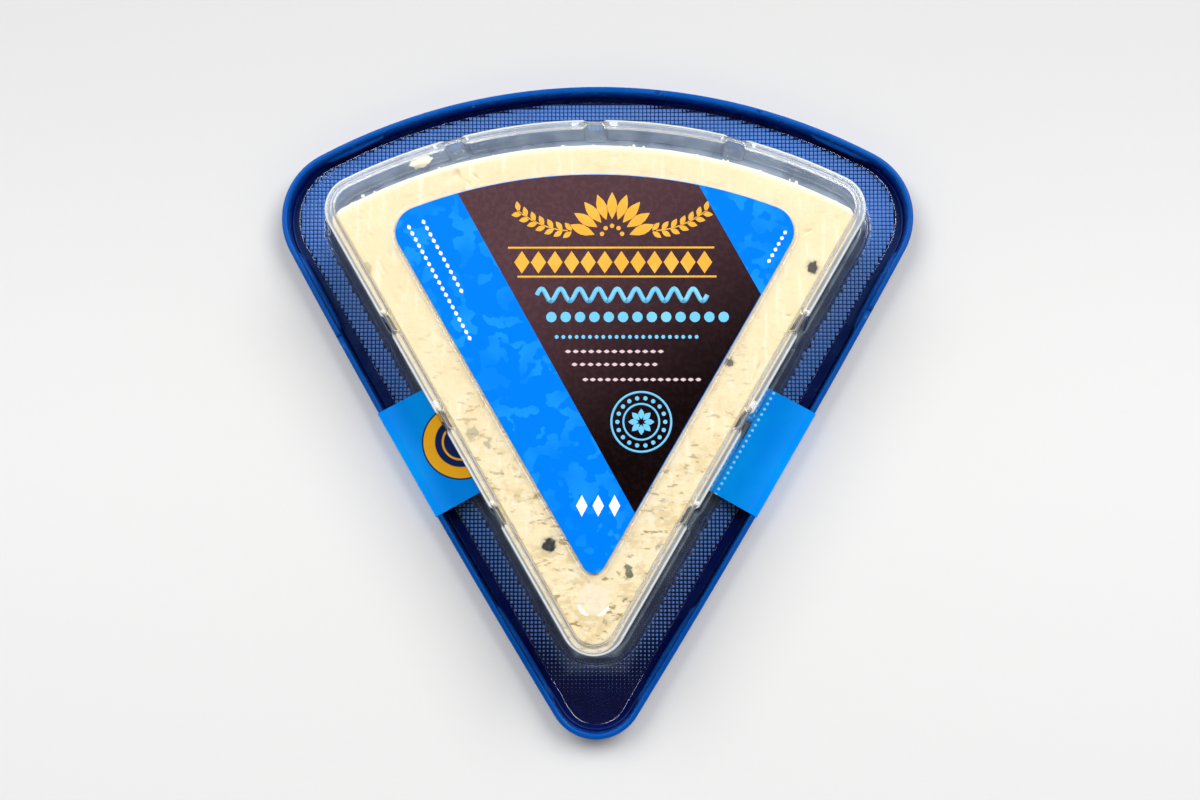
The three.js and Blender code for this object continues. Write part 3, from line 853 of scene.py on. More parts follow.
def knurl_tree():
    """Sets a pyramid on the flange below each point of a grid, smaller towards the tab."""
    tree, given, output = geometry_tree("knurl", {
        "Pitch": "NodeSocketFloat",
        "Height": "NodeSocketFloat",
        "Tab edge": "NodeSocketFloat",
        "Full size from": "NodeSocketFloat",
        "Material": "NodeSocketMaterial",
    })
    box = add(tree, "GeometryNodeBoundBox", {"Geometry": given["Geometry"]}).outputs
    size = add(tree, "ShaderNodeVectorMath", {0: box["Max"], 1: box["Min"]}, operation="SUBTRACT")
    sides = add(tree, "ShaderNodeSeparateXYZ", {0: size}).outputs
    counts = [
        add(tree, "ShaderNodeMath", {0: sides[axis], 1: given["Pitch"]}, operation="DIVIDE")
        for axis in ("X", "Y")
    ]
    grid = add(tree, "GeometryNodeMeshGrid", {
        "Size X": sides["X"],
        "Size Y": sides["Y"],
        "Vertices X": counts[0],
        "Vertices Y": counts[1],
    })
    both = add(tree, "ShaderNodeVectorMath", {0: box["Max"], 1: box["Min"]}, operation="ADD")
    middle = add(tree, "ShaderNodeVectorMath", {0: both, "Scale": 0.5}, operation="SCALE")
    above = add(tree, "ShaderNodeVectorMath", {0: middle, 1: (0, 0, RAY_FROM * MM)}, operation="ADD")
    raised = add(tree, "GeometryNodeTransform", {"Geometry": grid.outputs["Mesh"], "Translation": above})
    room_below = add(tree, "GeometryNodeInputNamedAttribute", {"Name": "room"}, data_type="FLOAT")
    ray = add(tree, "GeometryNodeRaycast", {
        "Target Geometry": given["Geometry"],
        "Attribute": room_below,
        "Ray Direction": (0, 0, -1),
        "Ray Length": RAY_LENGTH * MM,
    }, data_type="FLOAT")
    fitted = add(tree, "GeometryNodeStoreNamedAttribute", {
        "Geometry": raised,
        "Name": "room",
        "Value": ray.outputs["Attribute"],
    }, data_type="FLOAT", domain="POINT")
    position = add(tree, "GeometryNodeInputPosition")
    place_y = add(tree, "ShaderNodeSeparateXYZ", {0: position}).outputs["Y"]
    beyond = add(tree, "FunctionNodeCompare", {0: place_y, 1: given["Tab edge"]}, operation="GREATER_THAN")
    wanted = add(tree, "FunctionNodeBooleanMath", {0: ray.outputs["Is Hit"], 1: beyond}, operation="AND")
    points = add(tree, "GeometryNodeMeshToPoints", {
        "Mesh": fitted,
        "Selection": wanted,
        "Position": ray.outputs["Hit Position"],
    })
    reach = add(tree, "ShaderNodeMath", {0: given["Pitch"], 1: KNURL_REACH}, operation="MULTIPLY")
    pyramid = add(tree, "GeometryNodeMeshCone", {
        "Vertices": 4,
        "Radius Top": 0.0,
        "Radius Bottom": reach,
        "Depth": given["Height"],
    })
    turned = add(tree, "GeometryNodeTransform", {
        "Geometry": pyramid.outputs["Mesh"], "Rotation": (0, 0, math.pi / 4),
    })
    size_here = add(tree, "ShaderNodeMapRange", {
        "Value": place_y,
        "From Min": given["Tab edge"],
        "From Max": given["Full size from"],
        "To Min": KNURL_SIZES[0],
        "To Max": KNURL_SIZES[1],
    })
    past_tab = add(tree, "ShaderNodeMath", {0: place_y, 1: given["Tab edge"]}, operation="SUBTRACT")
    fading = add(tree, "ShaderNodeMapRange", {
        "Value": past_tab, "From Max": TAB_FADE * MM, "To Min": 0.12,
    })
    size_here = add(tree, "ShaderNodeMath", {0: size_here, 1: fading}, operation="MULTIPLY")
    size_here = add(tree, "ShaderNodeMath", {0: size_here, 1: room_below}, operation="MULTIPLY")
    copies = add(tree, "GeometryNodeInstanceOnPoints", {
        "Points": points,
        "Instance": turned,
        "Scale": size_here,
    })
    real = add(tree, "GeometryNodeRealizeInstances", {"Geometry": copies})
    flat = add(tree, "GeometryNodeSetShadeSmooth", {"Geometry": real, "Shade Smooth": False})
    painted = add(tree, "GeometryNodeSetMaterial", {"Geometry": flat, "Material": given["Material"]})
    tree.links.new(painted.outputs[0], output.inputs[0])
    return tree


def make_knurl():
    """Knurls a band from the flange's edge to the dome's foot, with less room for a pyramid at the edge."""
    flange, z = outline(FLANGE), FLANGE_TOP - 0.01
    bands = [ring(flange, -0.12, z), ring(flange, -0.5, z), ring(outline(DOME), 3.5, z)]
    material = knurled_apet()
    vertices, faces = loft(bands, first_cap=False, last_cap=False)
    made = new_object("flange_knurl", vertices, faces, material)
    room = np.repeat([0.25, 1.0, 1.0], len(flange))
    made.data.attributes.new("room", "FLOAT", "POINT").data.foreach_set("value", room)
    return run_tree(made, knurl_tree(), {
        "Pitch": KNURL_PITCH * MM,
        "Height": KNURL_HEIGHT * MM,
        "Tab edge": (KNURL_FROM_Y + wheel_y) * MM,
        "Full size from": (FULL_KNURL_FROM_Y + wheel_y) * MM,
        "Material": material,
    })


knurl = make_knurl()
print("knurl faces:", len(knurl.data.polygons))

# %% [markdown]
# ## Sealing film
#
# The film closes the tray from below. It is clear where it is sealed to the flange. Under the dome a thin
# haze of whey makes it look grey between the cheese and the wall. A matt layer mixed with Transparent gives
# that haze without any refraction, and its share falls off outside the dome's outline. The film also takes
# away part of the light that passes, so the blue lid looks nearly black through it.

# %% Film
FILM_INSET = 0.2
FILM_HEIGHTS = (1.6, 1.85)


def hazy_film():
    """Sealed plastic film: open beside the dome, and grey with whey under it."""
    made, tree, output = new_material("sealing_film")
    place = millimetres(tree)
    haze = add(tree, "ShaderNodeBsdfPrincipled", {
        "Base Color": linear("#9FB0C2"),
        "Roughness": 0.3,
        "IOR": 1.5,
    })
    open_way = add(tree, "ShaderNodeBsdfTransparent", {"Color": linear("#D2DEEA")})
    place_on_wheel = from_wheel_centre(tree, place)
    radius = add(tree, "ShaderNodeVectorMath", {0: place_on_wheel}, operation="LENGTH")
    y = add(tree, "ShaderNodeSeparateXYZ", {0: place_on_wheel}).outputs["Y"]

    # How far a point lies outside the dome: past its arc, past its tip or past one of its sides.
    past_arc = add(tree, "ShaderNodeMath", {0: radius, 1: DOME["arc"]}, operation="SUBTRACT")
    tip_y = circles(DOME)[1][1] - DOME["tip"]
    past_tip = add(tree, "ShaderNodeMath", {0: tip_y, 1: y}, operation="SUBTRACT")
    beyond = add(tree, "ShaderNodeMath", {0: past_arc, 1: past_tip}, operation="MAXIMUM")
    for outward in ((OUTWARD[0], OUTWARD[1], 0), (-OUTWARD[0], OUTWARD[1], 0)):
        to_side = {0: place_on_wheel, 1: outward}
        past_side = add(tree, "ShaderNodeVectorMath", to_side, operation="DOT_PRODUCT")
        beyond = add(tree, "ShaderNodeMath", {0: beyond, 1: past_side}, operation="MAXIMUM")
    beside_dome = add(tree, "ShaderNodeMapRange", {
        "Value": beyond, "From Min": 3.0, "From Max": 5.5, "To Min": 0.13, "To Max": 0.0,
    }, interpolation_type="SMOOTHSTEP")
    within_dome = add(tree, "ShaderNodeMapRange", {
        "Value": beyond, "From Min": 0.0, "From Max": 2.5, "To Min": 1.0, "To Max": 0.0,
    }, interpolation_type="SMOOTHSTEP")
    under_dome = add(tree, "ShaderNodeMath", {0: within_dome, 1: beside_dome}, operation="MAXIMUM")
    whey_noise = add(tree, "ShaderNodeTexNoise", {"Vector": place, "Scale": 1 / 5, "Detail": 3})
    whey = add(tree, "ShaderNodeMapRange", {
        "Value": whey_noise, "From Min": 0.3, "From Max": 0.7, "To Min": 0.4, "To Max": 0.75,
    }, interpolation_type="SMOOTHSTEP")
    share = add(tree, "ShaderNodeMath", {0: whey, 1: under_dome}, operation="MULTIPLY")
    mixed = add(tree, "ShaderNodeMixShader", {0: share, 1: open_way, 2: haze})
    tree.links.new(mixed.outputs[0], output.inputs["Surface"])
    return made


def make_film():
    """A thin plate inside the flange's edge."""
    edge = outline(FLANGE)
    rings = [ring(edge, -FILM_INSET, z) for z in FILM_HEIGHTS]
    return face_outwards(new_object("sealing_film", *loft(rings), hazy_film(), smooth=False))


film = make_film()

# %% [markdown]
# ## Cheese
#
# Blue cheese is cut with a wire, which leaves a smooth face with small openings where the mould grew. The
# solid is a loft of the wedge, and Geometry Nodes press the openings into it with two noises: a broad one
# for the uneven face and a fine one for the pores. The depth of each pore is kept as an attribute, so that
# the material can colour the inside of the openings.
#
# Soft cheese takes the shape of its pack. Under the tray's ledge it is pressed out towards the wall, so the
# wedge has a wider body below and a narrower top, each with an outline of its own. Both outlines have the
# same number of points, so one loft joins them.

# %% Cheese relief by Geometry Nodes
CHEESE_BOTTOM = 2.05
CHEESE_TOP = 25.5
BODY_TOP = 24.15  # under the tray's ledge the soft cheese is pressed out towards the wall
FLUTE_PRESS = -0.65  # how far the tray's flutes press into it
TOP_MIDDLE = 62.0  # the rings of the top face close on this place, from the wheel's centre
RIGHT_GAP = 0.45  # the wedge lies a little to the left in its dome


def curd_tree():
    """Sinks slow waves and small pores into the surface, and marks the pores for the material."""
    tree, given, output = geometry_tree("curd_relief", {
        "Pore size": "NodeSocketFloat",
        "Pore depth": "NodeSocketFloat",
        "Wave depth": "NodeSocketFloat",
        "Seed": "NodeSocketFloat",
        "Material": "NodeSocketMaterial",
    })
    fine = add(tree, "GeometryNodeSubdivideMesh", {"Mesh": given["Geometry"], "Level": 1})
    place = add(tree, "GeometryNodeInputPosition")
    frequency = add(tree, "ShaderNodeMath", {0: 1.0, 1: given["Pore size"]}, operation="DIVIDE")
    pores = add(tree, "ShaderNodeTexNoise", {
        "Vector": place,
        "W": given["Seed"],
        "Scale": frequency,
        "Detail": 3.0,
        "Roughness": 0.6,
    }, noise_dimensions="4D")
    pit = add(tree, "ShaderNodeMapRange", {
        "Value": pores,
        "From Min": 0.6,
        "From Max": 0.78,
    }, interpolation_type="SMOOTHSTEP")
    broad = add(tree, "ShaderNodeTexNoise", {
        "Vector": place,
        "W": given["Seed"],
        "Scale": 110.0,
        "Detail": 2.0,
    }, noise_dimensions="4D")
    dip = add(tree, "ShaderNodeMath", {0: pit, 1: given["Pore depth"]}, operation="MULTIPLY")
    wave = add(tree, "ShaderNodeMath", {0: broad, 1: given["Wave depth"]}, operation="MULTIPLY")
    inwards = add(tree, "ShaderNodeMath", {0: dip, 1: wave}, operation="ADD")
    back = add(tree, "ShaderNodeMath", {0: inwards, 1: -1.0}, operation="MULTIPLY")
    normal = add(tree, "GeometryNodeInputNormal")
    offset = add(tree, "ShaderNodeVectorMath", {0: normal, "Scale": back}, operation="SCALE")
    kept = add(tree, "GeometryNodeStoreNamedAttribute", {
        "Geometry": fine,
        "Name": "pit",
        "Value": pit,
    }, data_type="FLOAT", domain="POINT")
    moved = add(tree, "GeometryNodeSetPosition", {"Geometry": kept, "Offset": offset})
    real = add(tree, "GeometryNodeRealizeInstances", {"Geometry": moved})
    painted = add(tree, "GeometryNodeSetMaterial", {"Geometry": real, "Material": given["Material"]})
    tree.links.new(painted.outputs[0], output.inputs[0])
    return tree


# %% [markdown]
# ## Colours of the cheese
#
# The colour of the cheese is a warm cream. It is paler along the rind and streaked along the wedge. Towards
# the tip it has tan stains, ochre flecks and pale strokes. A Mapping node stretches the noise of the streaks
# along the wedge, and that of the flecks and strokes across it. A few spots of blue-green mould show at the
# surface; each is a soft dark patch at its own place.

# %% Tones of the cheese
MOULD_WANDER = 1.9
MOULD_SPOTS = (
    # x, y, radius in millimetres from the wheel's centre, and darkness
    (40.5, 77.2, 1.15, 0.95),
    (-8.2, 25.8, 1.5, 1.0),
    (6.5, 20.4, 0.75, 0.75),
    (6.2, 21.6, 0.6, 0.7),
    (-42.3, 77.1, 1.2, 0.3),
    (-22.5, 46.4, 1.3, 0.32),
    (-19.7, 44.4, 0.8, 0.35),
    (24.9, 59.4, 1.0, 0.8),
    (5.7, 15.8, 0.45, 0.5),
)


def cut_face_tone(tree, place):
    """Cream with streaks along the wedge, and stains, flecks and strokes towards the tip."""
    parts = add(tree, "ShaderNodeSeparateXYZ", {0: place}).outputs
    tone_noise = add(tree, "ShaderNodeTexNoise", {
        "Vector": place, "Scale": 1 / 9, "Detail": 4, "Roughness": 0.6,
    })
    tone = add(tree, "ShaderNodeMix", {
        0: tone_noise, 6: linear("#F7E0B1"), 7: linear("#FBE9C3"),
    }, data_type="RGBA")
    stretched = add(tree, "ShaderNodeMapping", {
        "Vector": place,
        "Rotation": (0, 0, HALF_ANGLE),
        "Scale": (1.0, 0.16, 1.0),
    })
    streak_noise = add(tree, "ShaderNodeTexNoise", {"Vector": stretched, "Scale": 1 / 1.6, "Detail": 3})
    streak = add(tree, "ShaderNodeMapRange", {
        "Value": streak_noise, "From Min": 0.52, "From Max": 0.72, "To Min": 0, "To Max": 0.55,
    }, interpolation_type="SMOOTHSTEP")
    tone = add(tree, "ShaderNodeMix", {0: streak, 6: tone, 7: linear("#FFF8E2")}, data_type="RGBA")
    to_tip = add(tree, "ShaderNodeMapRange", {
        "Value": parts["Y"], "From Min": 20, "From Max": -30, "To Min": 0.12, "To Max": 0.9,
    }, interpolation_type="SMOOTHSTEP")

    # Denser towards the tip: broad tan stains, and small ochre flecks that lie across the wedge.
    stain_noise = add(tree, "ShaderNodeTexNoise", {
        "Vector": place, "Scale": 1 / 3.4, "Detail": 5, "Roughness": 0.65,
    })
    stained = add(tree, "ShaderNodeMapRange", {
        "Value": stain_noise, "From Min": 0.46, "From Max": 0.62, "To Min": 0, "To Max": 0.7,
    }, interpolation_type="SMOOTHSTEP")
    stain = add(tree, "ShaderNodeMath", {0: stained, 1: to_tip}, operation="MULTIPLY")
    tone = add(tree, "ShaderNodeMix", {0: stain, 6: tone, 7: linear("#D8C189")}, data_type="RGBA")
    across = add(tree, "ShaderNodeMapping", {"Vector": place, "Scale": (0.4, 1.0, 1.0)})
    fleck_noise = add(tree, "ShaderNodeTexNoise", {
        "Vector": across, "Scale": 1.0, "Detail": 4, "Roughness": 0.6,
    })
    flecked = add(tree, "ShaderNodeMapRange", {
        "Value": fleck_noise, "From Min": 0.57, "From Max": 0.66, "To Min": 0, "To Max": 0.9,
    }, interpolation_type="SMOOTHSTEP")
    fleck = add(tree, "ShaderNodeMath", {0: flecked, 1: to_tip}, operation="MULTIPLY")
    tone = add(tree, "ShaderNodeMix", {0: fleck, 6: tone, 7: linear("#8E733C")}, data_type="RGBA")

    # Where the wire dragged, short pale strokes lie across the wedge too.
    dragged_noise = add(tree, "ShaderNodeTexNoise", {"Vector": across, "Scale": 1 / 0.8, "Detail": 3})
    dragged = add(tree, "ShaderNodeMapRange", {
        "Value": dragged_noise, "From Min": 0.5, "From Max": 0.62, "To Min": 0, "To Max": 0.6,
    }, interpolation_type="SMOOTHSTEP")
    pale_stroke = add(tree, "ShaderNodeMath", {0: dragged, 1: to_tip}, operation="MULTIPLY")
    tone = add(tree, "ShaderNodeMix", {0: pale_stroke, 6: tone, 7: linear("#FBF1D8")}, data_type="RGBA")

    # The inside of the pores is browner, also towards the tip.
    pit = add(tree, "ShaderNodeAttribute", attribute_name="pit").outputs["Fac"]
    brown_pore = add(tree, "ShaderNodeMath", {0: pit, 1: to_tip}, operation="MULTIPLY")
    tone = add(tree, "ShaderNodeMix", {0: brown_pore, 6: tone, 7: linear("#8A6A34")}, data_type="RGBA")
    return tone


def dimple_and_rind(tree, place, tone):
    """Lays two paler places over the tone: under the tray's dimple, and the rind along the arc."""
    # A pale round patch lies on the cheese under the tray's dimple.
    pale_patch_middle = (0.0, DIMPLE["y"] + wheel_y, CHEESE_TOP)
    from_dimple = add(tree, "ShaderNodeVectorMath", {0: place, 1: pale_patch_middle}, operation="DISTANCE")
    pressed = add(tree, "ShaderNodeMapRange", {
        "Value": from_dimple,
        "From Min": DIMPLE["radius"] - 0.5,
        "From Max": DIMPLE["radius"] + 0.2,
        "To Min": 0.7,
        "To Max": 0.0,
    }, interpolation_type="SMOOTHSTEP")
    tone = add(tree, "ShaderNodeMix", {0: pressed, 6: tone, 7: linear("#F8EBD2")}, data_type="RGBA")

    # The rind along the arc is whiter than the cut face.
    place_on_wheel = from_wheel_centre(tree, place)
    from_centre = add(tree, "ShaderNodeVectorMath", {0: place_on_wheel}, operation="LENGTH")
    rind = add(tree, "ShaderNodeMapRange", {
        "Value": from_centre,
        "From Min": CHEESE["arc"] - 1.6,
        "From Max": CHEESE["arc"] - 0.3,
        "To Min": 0,
        "To Max": 0.8,
    }, interpolation_type="SMOOTHSTEP")
    tone = add(tree, "ShaderNodeMix", {0: rind, 6: tone, 7: linear("#FFF9EA")}, data_type="RGBA")
    return tone


def mould_spots(tree, place, tone):
    """Lays spots with ragged outlines over the tone. Noise moves each place before it is compared with a
    spot's. The noise only moves it one way, so each spot moves along by half of that."""
    ragged = add(tree, "ShaderNodeTexNoise", {"Vector": place, "Scale": 1.1, "Detail": 4.0}).outputs["Color"]
    shifted = add(tree, "ShaderNodeVectorMath", {0: ragged, "Scale": MOULD_WANDER}, operation="SCALE")
    wandering = add(tree, "ShaderNodeVectorMath", {0: place, 1: shifted}, operation="ADD")
    for x, y, radius, darkness in MOULD_SPOTS:
        spot = (x + MOULD_WANDER / 2, y + wheel_y + MOULD_WANDER / 2, CHEESE_TOP + 0.85)
        away = add(tree, "ShaderNodeVectorMath", {0: wandering, 1: spot}, operation="DISTANCE")
        halo = add(tree, "ShaderNodeMapRange", {
            "Value": away,
            "From Min": radius * 0.8,
            "From Max": radius * 1.7,
            "To Min": darkness * 0.35,
            "To Max": 0.0,
        }, interpolation_type="SMOOTHSTEP")
        tone = add(tree, "ShaderNodeMix", {0: halo, 6: tone, 7: linear("#6F7A5A")}, data_type="RGBA")
        core = add(tree, "ShaderNodeMapRange", {
            "Value": away,
            "From Min": radius * 0.7,
            "From Max": radius * 1.05,
            "To Min": darkness,
            "To Max": 0.0,
        }, interpolation_type="SMOOTHSTEP")
        tone = add(tree, "ShaderNodeMix", {0: core, 6: tone, 7: linear("#0A0C0A")}, data_type="RGBA")
    return tone


# %% Cheese material


def curd():
    """Moist cut curd: a little light goes in and comes out warmer, and its gloss is uneven."""
    made, tree, output = new_material("blue_cheese_curd")
    place = millimetres(tree)
    tone = cut_face_tone(tree, place)
    tone = dimple_and_rind(tree, place, tone)
    tone = mould_spots(tree, place, tone)
    wet_noise = add(tree, "ShaderNodeTexNoise", {"Vector": place, "Scale": 1 / 7, "Detail": 2})
    wet = add(tree, "ShaderNodeMapRange", {
        "Value": wet_noise, "From Min": 0.35, "From Max": 0.65, "To Min": 0.32, "To Max": 0.55,
    }, interpolation_type="SMOOTHSTEP")
    relief_noise = add(tree, "ShaderNodeTexNoise", {
        "Vector": place, "Scale": 1 / 0.7, "Detail": 4, "Roughness": 0.6,
    })
    relief = add(tree, "ShaderNodeBump", {"Height": relief_noise, "Distance": 0.12 * MM, "Strength": 0.5})
    surface = add(tree, "ShaderNodeBsdfPrincipled", {
        "Base Color": tone,
        "Roughness": wet,
        "IOR": 1.45,
        "Subsurface Weight": 0.25,
        "Subsurface Radius": (1.0, 0.75, 0.4),
        "Subsurface Scale": 2 * MM,
        "Normal": relief,
    })
    tree.links.new(surface.outputs[0], output.inputs["Surface"])
    return made


# %% Cheese: the two outlines joined by one loft
WALL_ROWS = 26
TOP_ROWS = 46
GAP_RAMP = 6.0  # the gap on the right grows over this distance from the middle


def make_cheese():
    """Rings of the wide body, then of the narrower cut outline, and then smaller ones across the top."""
    cut, body = outline(CHEESE), outline(CHEESE_BODY)
    pressed = BODY_TOP - 0.35
    walls = [ring(body, 0, z, FLUTE_PRESS) for z in np.linspace(CHEESE_BOTTOM + 0.7, pressed, WALL_ROWS)]
    walls += [ring(body, -0.06, BODY_TOP - 0.1, FLUTE_PRESS), ring(body, -0.2, BODY_TOP, FLUTE_PRESS)]
    for one in walls:
        one[:, 0] -= RIGHT_GAP * np.clip(one[:, 0] / GAP_RAMP, 0, 1)
    walls += [ring(cut, 0.1, BODY_TOP), ring(cut, 0, BODY_TOP + 0.15), ring(cut, 0, CHEESE_TOP - 0.4)]
    edge = ring(cut, -0.3, CHEESE_TOP)
    shoulder = [ring(cut, -0.06, CHEESE_TOP - 0.18), ring(cut, -0.15, CHEESE_TOP - 0.06)]
    middle = np.array([0, TOP_MIDDLE, CHEESE_TOP])
    tops = [middle + (edge - middle) * s for s in np.linspace(1, 0.02, TOP_ROWS)]
    solid = loft([ring(body, -0.6, CHEESE_BOTTOM), *walls, *shoulder, *tops])
    material = curd()
    made = face_outwards(new_object("cheese_wedge", *solid, material))
    return run_tree(made, curd_tree(), {
        "Pore size": 2.6 * MM,
        "Pore depth": 0.5 * MM,
        "Wave depth": 0.25 * MM,
        "Seed": 4.0,
        "Material": material,
    })


cheese = make_cheese()
print("cheese faces:", len(cheese.data.polygons))

# %% [markdown]
# ## Crumbs
#
# A few crumbs came off when the wedge was cut. They lie along the edge of its arc, by the wall. Geometry
# Nodes scatter small rough lumps on a narrow band there; one larger piece is given its own place, stuck under
# the ledge. Ready-made spheres would look like beads, so a noise dents each lump.

# %% Crumbs scattered on a band along the arc
FULL_TURN = 6.28


def crumb_tree():
    """Scatters dented lumps on a band, each turned and sized at random."""
    tree, given, output = geometry_tree("crumbs", {
        "Spacing": "NodeSocketFloat",
        "Size": "NodeSocketFloat",
        "Seed": "NodeSocketInt",
        "Material": "NodeSocketMaterial",
    })
    room_each = add(tree, "ShaderNodeMath", {
        0: given["Spacing"], 1: given["Spacing"],
    }, operation="MULTIPLY")
    most = add(tree, "ShaderNodeMath", {0: 1.0, 1: room_each}, operation="DIVIDE")
    closest = add(tree, "ShaderNodeMath", {0: given["Spacing"], 1: 0.5}, operation="MULTIPLY")
    points = add(tree, "GeometryNodeDistributePointsOnFaces", {
        "Mesh": given["Geometry"],
        "Distance Min": closest,
        "Density Max": most,
        "Seed": given["Seed"],
    }, distribute_method="POISSON")
    ball = add(tree, "GeometryNodeMeshIcoSphere", {"Radius": 1.0, "Subdivisions": 3})
    place = add(tree, "GeometryNodeInputPosition")
    rough = add(tree, "ShaderNodeTexNoise", {"Vector": place, "Scale": 1.6, "Detail": 3.0})
    in_or_out = add(tree, "ShaderNodeMath", {0: rough, 1: 0.5}, operation="SUBTRACT")
    dent = add(tree, "ShaderNodeMath", {0: in_or_out, 1: 1.6}, operation="MULTIPLY")
    normal = add(tree, "GeometryNodeInputNormal")
    push = add(tree, "ShaderNodeVectorMath", {0: normal, "Scale": dent}, operation="SCALE")
    lump = add(tree, "GeometryNodeSetPosition", {"Geometry": ball.outputs["Mesh"], "Offset": push})
    turn = add(tree, "FunctionNodeRandomValue", {
        "Min": (0, 0, 0),
        "Max": (FULL_TURN, FULL_TURN, FULL_TURN),
        "Seed": given["Seed"],
    }, data_type="FLOAT_VECTOR")
    grow = add(tree, "FunctionNodeRandomValue", {
        "Min": 0.35, "Max": 1.0, "Seed": given["Seed"],
    })
    size_here = add(tree, "ShaderNodeMath", {0: grow, 1: given["Size"]}, operation="MULTIPLY")
    copies = add(tree, "GeometryNodeInstanceOnPoints", {
        "Points": points.outputs["Points"],
        "Instance": lump,
        "Rotation": turn,
        "Scale": size_here,
    })
    real = add(tree, "GeometryNodeRealizeInstances", {"Geometry": copies})
    smooth = add(tree, "GeometryNodeSetShadeSmooth", {"Geometry": real})
    painted = add(tree, "GeometryNodeSetMaterial", {"Geometry": smooth, "Material": given["Material"]})
    tree.links.new(painted.outputs[0], output.inputs[0])
    return tree


def arc_band(name, inner, outer, z, material):
    """A flat band between two radii, inside the dome, to scatter on."""
    steps = 60
    angles = np.radians(np.linspace(-27.5, 27.5, steps))
    bearings = np.column_stack([np.sin(angles), np.cos(angles)])
    rows = [np.column_stack([bearings * r, np.full(steps, z)]) for r in (inner, outer)]
    faces = [(i, i + 1, steps + 1 + i, steps + i) for i in range(steps - 1)]
    return new_object(name, np.concatenate(rows), faces, material)


def crumb_material():
    """Dry, matt and rough curd."""
    made, tree, output = new_material("cheese_crumb")
    place = millimetres(tree)
    tone_noise = add(tree, "ShaderNodeTexNoise", {"Vector": place, "Scale": 1 / 1.2, "Detail": 3})
    tone = add(tree, "ShaderNodeMix", {
        0: tone_noise, 6: linear("#F6E9CC"), 7: linear("#FFFBF0"),
    }, data_type="RGBA")
    relief_noise = add(tree, "ShaderNodeTexNoise", {"Vector": place, "Scale": 1 / 0.4, "Detail": 3})
    relief = add(tree, "ShaderNodeBump", {"Height": relief_noise, "Distance": 0.06 * MM, "Strength": 0.5})
    surface = add(tree, "ShaderNodeBsdfPrincipled", {
        "Base Color": tone,
        "Roughness": 0.6,
        "Normal": relief,
    })
    tree.links.new(surface.outputs[0], output.inputs["Surface"])
    return made


pale_crumb = crumb_material()
crumbs_along = crumb_tree()
BIG_CRUMB = {"radius": 102.75, "bearing": -18.5, "z": 23.5, "size": (2.0, 0.85, 0.55)}


def make_crumbs():
    """Lays the small crumbs along the cheese's arc."""
    arc = CHEESE["arc"]
    band = arc_band("arc_crumbs", arc - 0.5, arc + 0.25, CHEESE_TOP - 0.75, pale_crumb)
    return run_tree(band, crumbs_along, {
        "Spacing": 1.5 * MM,
        "Size": 0.42 * MM,
        "Seed": 7,
        "Material": pale_crumb,
    })


def make_big_crumb():
    """One lump: a sphere pushed in and out by two waves, then stretched and turned."""
    steps, rows = 28, []
    for polar in np.linspace(0.02, math.pi - 0.02, 18):
        around = np.linspace(0, 2 * math.pi, steps, endpoint=False)
        rough = 1 + 0.16 * np.sin(3 * around + 4 * polar) + 0.12 * np.sin(5 * around - 7 * polar + 1)
        reach = np.sin(polar) * rough
        height = np.full(steps, np.cos(polar))
        rows.append(np.column_stack([reach * np.cos(around), reach * np.sin(around), height]))
    vertices, faces = loft(rows)
    turn = math.radians(-BIG_CRUMB["bearing"])
    wide, deep, high = BIG_CRUMB["size"]
    lump = np.array(vertices) * [wide, deep, high]
    turned = np.column_stack([
        lump[:, 0] * math.cos(turn) - lump[:, 1] * math.sin(turn),
        lump[:, 0] * math.sin(turn) + lump[:, 1] * math.cos(turn),
        lump[:, 2],
    ])
    middle = [-math.sin(turn) * BIG_CRUMB["radius"], math.cos(turn) * BIG_CRUMB["radius"], BIG_CRUMB["z"]]
    return face_outwards(new_object("large_crumb", turned + middle, faces, pale_crumb))


crumbs = [make_crumbs(), make_big_crumb()]
print("crumb faces:", [len(c.data.polygons) for c in crumbs])

# %% [markdown]
# ## Label
#
# The label is a film print on a plate that fills the recess. Its ground is a bright blue with paler
# clouds, and a dark brown band crosses it on the slant. A picture could carry the print. Here each field and
# ornament is a flat shape about a hundredth of a millimetre thick, which stays sharp at any size.

# %% Printed inks


